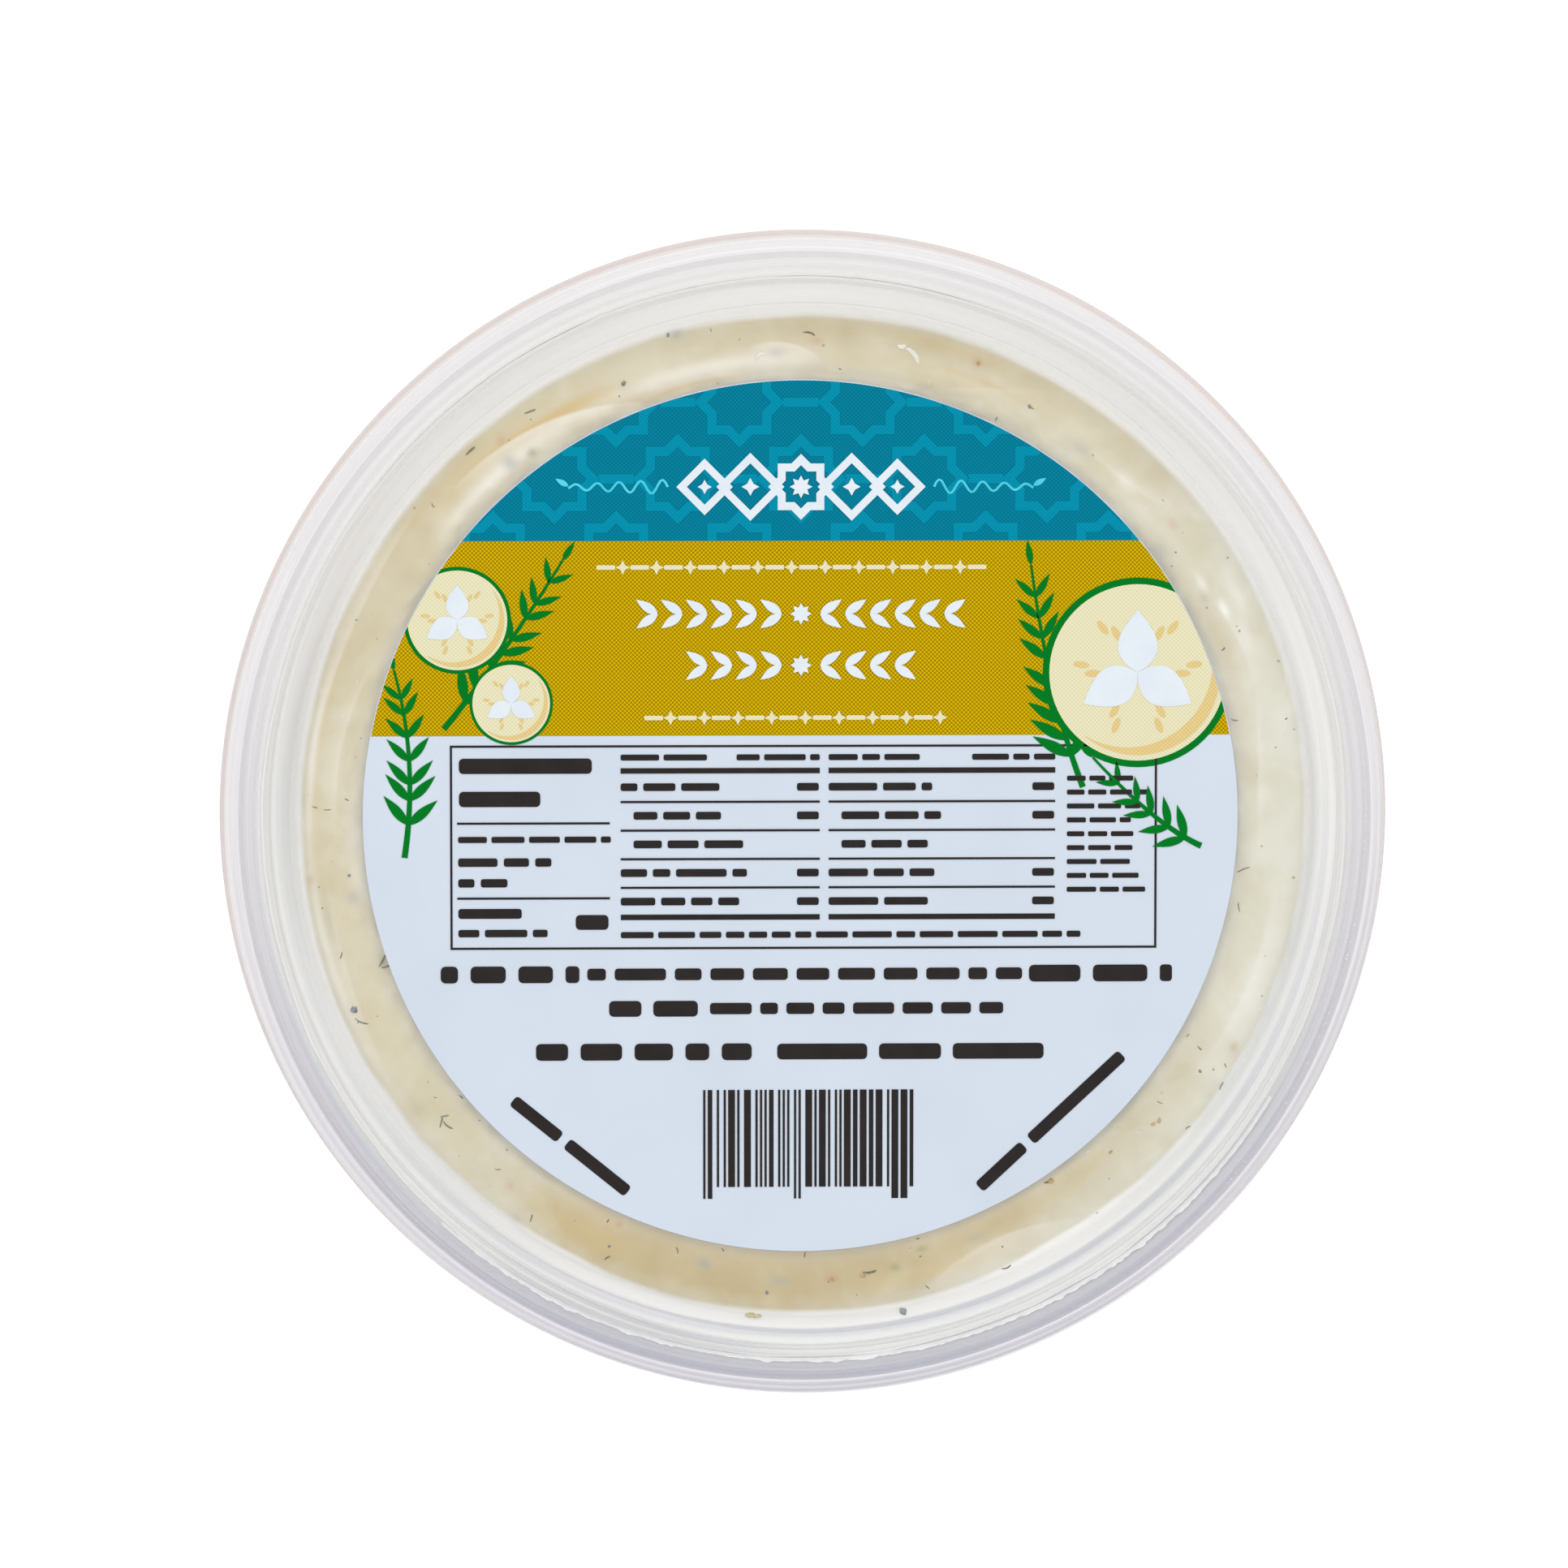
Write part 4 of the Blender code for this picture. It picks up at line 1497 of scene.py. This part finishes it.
# The ruled table: its thin and thick lines, and its lower left and upper right corners.
HAIRLINE = 0.22
RULE = 0.55
TABLE_LOW = (-35.4, -13.35)
TABLE_HIGH = (36.0, 7.35)
# Two thick bars in its left part, as height on the label and length, and the two thin lines below them.
THICK_BARS = ((5.25, 13.4), (1.9, 8.2))
THICK_BAR_HEIGHT = 1.55
LEFT_RULES = (-0.55, -8.15)
LEFT_END = -19.3
# Rows of bars in its left part: from and to, height on the label, thickness, and shortest bar.
LEFT_ROWS = (
    (-34.6, -19.2, -2.2, 0.62),
    (-34.6, -25.2, -4.5, 0.85),
    (-34.6, -29.0, -6.6, 0.85),
    (-34.6, -26.6, -9.7, 1.0, 7),
    (-34.6, -25.6, -11.7, 0.75),
)
# Its two columns: from and to, the top row, the rows' pitch and thickness, and the lines between them as
# height on the label and thickness.
COLUMNS = ((-18.2, 1.9), (2.8, 25.7))
COLUMN_TOP = 3.1
COLUMN_PITCH = 2.9
COLUMN_BAR = 0.78
COLUMN_RULES = (
    (4.75, RULE),
    (1.6, HAIRLINE),
    (-1.3, HAIRLINE),
    (-4.2, HAIRLINE),
    (-7.1, HAIRLINE),
    (-10.1, RULE),
)
# The rows of fine bars at its right: where they start, the top one, and their pitch.
RIGHT_START = 26.9
RIGHT_TOP = 3.9
RIGHT_PITCH = 1.41
# Rows of bars below the table and along the label's edge: from and to, height, thickness, shortest and
# longest bar, then turn and middle for the two slanted ones.
OUTER_ROWS = (
    (-36.4, -22.4, -15.9, 1.7, 1.6, 8),
    (-21.6, 22.4, -15.9, 1.2),
    (23.1, 37.6, -15.9, 1.7, 1.6, 7),
    (-19.4, -10.0, -19.4, 1.6),
    (-9.2, 21.8, -19.4, 1.15),
    (-26.8, -4.2, -23.8, 1.7),
    (-2.4, 24.6, -23.8, 1.6, 6, 11),
    (-7.5, 7.5, 0, 1.25, 6, 9, -39, (-23.3, -33.4)),
    (-11.2, 11.2, 0, 1.25, 5, 13, 43, (26.3, -30.1)),
)


def draw_table(ink, rng):
    """A ruled table filled with rows of plain bars."""
    (low_x, low_y), (high_x, high_y) = TABLE_LOW, TABLE_HIGH
    ink += [
        block(low_x, high_y - HAIRLINE, high_x, high_y),
        block(low_x, low_y, high_x, low_y + HAIRLINE),
        block(low_x, low_y + HAIRLINE, low_x + HAIRLINE, high_y - HAIRLINE),
        block(high_x - HAIRLINE, low_y + HAIRLINE, high_x, high_y - HAIRLINE),
    ]
    for y, length in THICK_BARS:
        ink.append(placed(bar(length, THICK_BAR_HEIGHT), low_x + 0.9 + length / 2, y))
    for y in LEFT_RULES:
        ink.append(block(low_x + 0.7, y - HAIRLINE / 2, LEFT_END, y + HAIRLINE / 2))
    for row in LEFT_ROWS:
        bar_row(ink, rng, *row)
    ink.append(placed(bar(3.3, 1.5), -21.1, -10.6))
    for low, high in COLUMNS:
        bar_row(ink, rng, low, low + 9.2, 6.1, 0.6, longest=4.5)
        bar_row(ink, rng, high - 8.4, high, 6.1, 0.6, longest=4.5)
        for y, thick in COLUMN_RULES:
            ink.append(block(low, y - thick / 2, high, y + thick / 2))
        for row in range(5):
            y = COLUMN_TOP - COLUMN_PITCH * row
            start = low + (1.3 if row in (1, 2) else 0.0)
            bar_row(ink, rng, start, start + rng.uniform(8, 13), y, COLUMN_BAR)
            if row != 2:
                ink.append(placed(bar(2.2, COLUMN_BAR), high - 1.2, y))
    bar_row(ink, rng, -18.2, 28.3, -11.9, 0.62, longest=4.2)
    for row in range(9):
        end = RIGHT_START + rng.uniform(6.4, 8.6)
        bar_row(ink, rng, RIGHT_START, end, RIGHT_TOP - RIGHT_PITCH * row, 0.5, longest=3.2)


# The block of stripes on the label: from and to, top and foot, the foot of its longer stripes, which those
# are, and what widths and gaps they are drawn from.
STRIPES_FROM, STRIPES_TO = -9.9, 11.4
STRIPES_TOP, STRIPES_FOOT = -27.7, -37.6
LONG_FOOT = -38.8
LONG_STRIPES = (0, 1, 14, 15, 28, 29)
STRIPE_WIDTHS = (0.23, 0.23, 0.46, 0.69)
STRIPE_GAPS = (0.23, 0.23, 0.46)


def draw_stripes(ink, rng):
    """A block of upright stripes of chance widths."""
    x = STRIPES_FROM
    count = 0
    while x < STRIPES_TO - 0.3:
        width = rng.choice(STRIPE_WIDTHS)
        foot = LONG_FOOT if count in LONG_STRIPES else STRIPES_FOOT
        ink.append(block(x, foot, min(x + width, STRIPES_TO), STRIPES_TOP))
        x += width + rng.choice(STRIPE_GAPS)
        count += 1


def make_label():
    """The label's paper, a thin round disc that lies on the lid's panel."""
    outline = [
        Vector((0, PAPER_TOP)),
        Vector((LABEL_RADIUS - PAPER_BEVEL, PAPER_TOP)),
        Vector((LABEL_RADIUS, PAPER_TOP - PAPER_BEVEL)),
        Vector((LABEL_RADIUS, PANEL_TOP)),
        Vector((0, PANEL_TOP)),
    ]
    paper = turned("label_paper", outline, coated_label_paper(), LABEL_X)
    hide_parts("label")


# The photograph's framing: its width in pixels, a pixel's size at the skirt's end, the middle of the outline
# in pixels, the lens and its sensor, and how far the camera leans from straight above.
PICTURE = 1932
PIXEL = 0.0823
OUTLINE_MIDDLE = (990.3, 1003.2)
LENS = 180.0
SENSOR = 36.0
LEAN_X = math.radians(-1.7)
LEAN_Y = math.radians(5.0)


def make_camera():
    """Looks down on the lid from a little above its top edge, as far off as the lens needs."""
    camera = bpy.data.objects.new("camera", bpy.data.cameras.new("camera"))
    bpy.context.scene.collection.objects.link(camera)
    camera.data.lens = LENS
    camera.data.sensor_width = SENSOR
    camera.data.clip_start = 0.05
    camera.data.clip_end = 20.0
    back = Vector((math.tan(LEAN_X), math.tan(LEAN_Y), 1)).normalized()
    aim_x = (PICTURE / 2 - OUTLINE_MIDDLE[0]) * PIXEL
    aim_y = (OUTLINE_MIDDLE[1] - PICTURE / 2) * PIXEL
    camera.location = (Vector((aim_x, aim_y, LID_END)) + back * (PICTURE * PIXEL * LENS / SENSOR)) * MM
    right = Vector((0, 1, 0)).cross(back).normalized()
    camera.rotation_mode = "QUATERNION"
    camera.rotation_quaternion = Matrix((right, back.cross(right), back)).transposed().to_quaternion()
    bpy.context.scene.camera = camera


FLOOR_SIZE = 12.0
FLOOR_GLOW = 0.9
FLOOR_CLOUD = 333.3


def make_floor():
    """A wide white sweep that glows a little, as a light table does, so that it stays pure white."""
    made, tree, shader, place = new_material("white_sweep")
    cloud = add(tree, "ShaderNodeTexNoise", {"Vector": place, "Scale": per_metre(FLOOR_CLOUD)})
    tone = add(tree, "ShaderNodeValToRGB", {0: cloud}, stops=[(0.0, "#6E6E6E"), (1.0, "#787878")])
    glow = {"Emission Color": "#FFFFFF", "Emission Strength": FLOOR_GLOW}
    fill(tree, shader, {"Base Color": tone, "Roughness": 0.9, **glow})
    made.cycles.emission_sampling = "NONE"
    half = FLOOR_SIZE / 2
    mesh = bpy.data.meshes.new("floor")
    mesh.from_pydata([(x, y, 0) for x, y in block(-half, -half, half, half)], [], [(0, 1, 2, 3)])
    mesh.materials.append(made)
    floor = bpy.data.objects.new("floor", mesh)
    bpy.context.scene.collection.objects.link(floor)


# Softboxes: name, place in metres, width and height in metres, and power in watts.
SOFTBOXES = (
    ("softbox_back", (0.0, 0.95, 0.85), (0.9, 0.5), 5.0),
    ("softbox_left", (-0.95, 0.1, 0.8), (0.6, 0.6), 3.0),
    ("softbox_right", (0.95, 0.1, 0.8), (0.6, 0.6), 2.6),
    ("softbox_front", (0.0, -1.0, 0.75), (0.9, 0.5), 2.4),
)
ROOM_LIGHT = 0.66


def make_lights():
    """An even white room with four softboxes aimed at the lid."""
    world = bpy.data.worlds.new("room")
    bpy.context.scene.world = world
    world.use_nodes = True
    room = world.node_tree.nodes["Background"]
    fill(world.node_tree, room, {"Color": "#FFFFFF", "Strength": ROOM_LIGHT})
    for name, place, size, power in SOFTBOXES:
        light = bpy.data.lights.new(name, "AREA")
        light.shape = "RECTANGLE"
        light.size, light.size_y = size
        light.energy = power
        softbox = bpy.data.objects.new(name, light)
        bpy.context.scene.collection.objects.link(softbox)
        softbox.location = place
        softbox.rotation_mode = "QUATERNION"
        softbox.rotation_quaternion = (-Vector(place)).to_track_quat("-Z", "Y")


make_camera()
LID_STOPS = (LID_HAZE_TOP, LID_TONE_TOP, LID_HAZE_SHADED, LID_TONE_SHADED)
TUB_STOPS = (TUB_HAZE_TOP, TUB_TONE_TOP, TUB_HAZE_SHADED, TUB_TONE_SHADED)
make_lid(moulded_polypropylene("lid_moulded_polypropylene", *LID_STOPS, 0.14))
make_tub(moulded_polypropylene("tub_moulded_polypropylene", *TUB_STOPS, 0.3))
make_dip(strained_yogurt())
# A thin smear of yogurt looks whiter than the bulk.
make_smear(mottled("smeared_yogurt", "#E9E9EA", "#F6F6F5", 1.111, 0.4))
make_flecks()
make_droplets()
make_label()
make_print()
make_floor()
make_lights()
bpy.context.scene.view_settings.view_transform = "Standard"
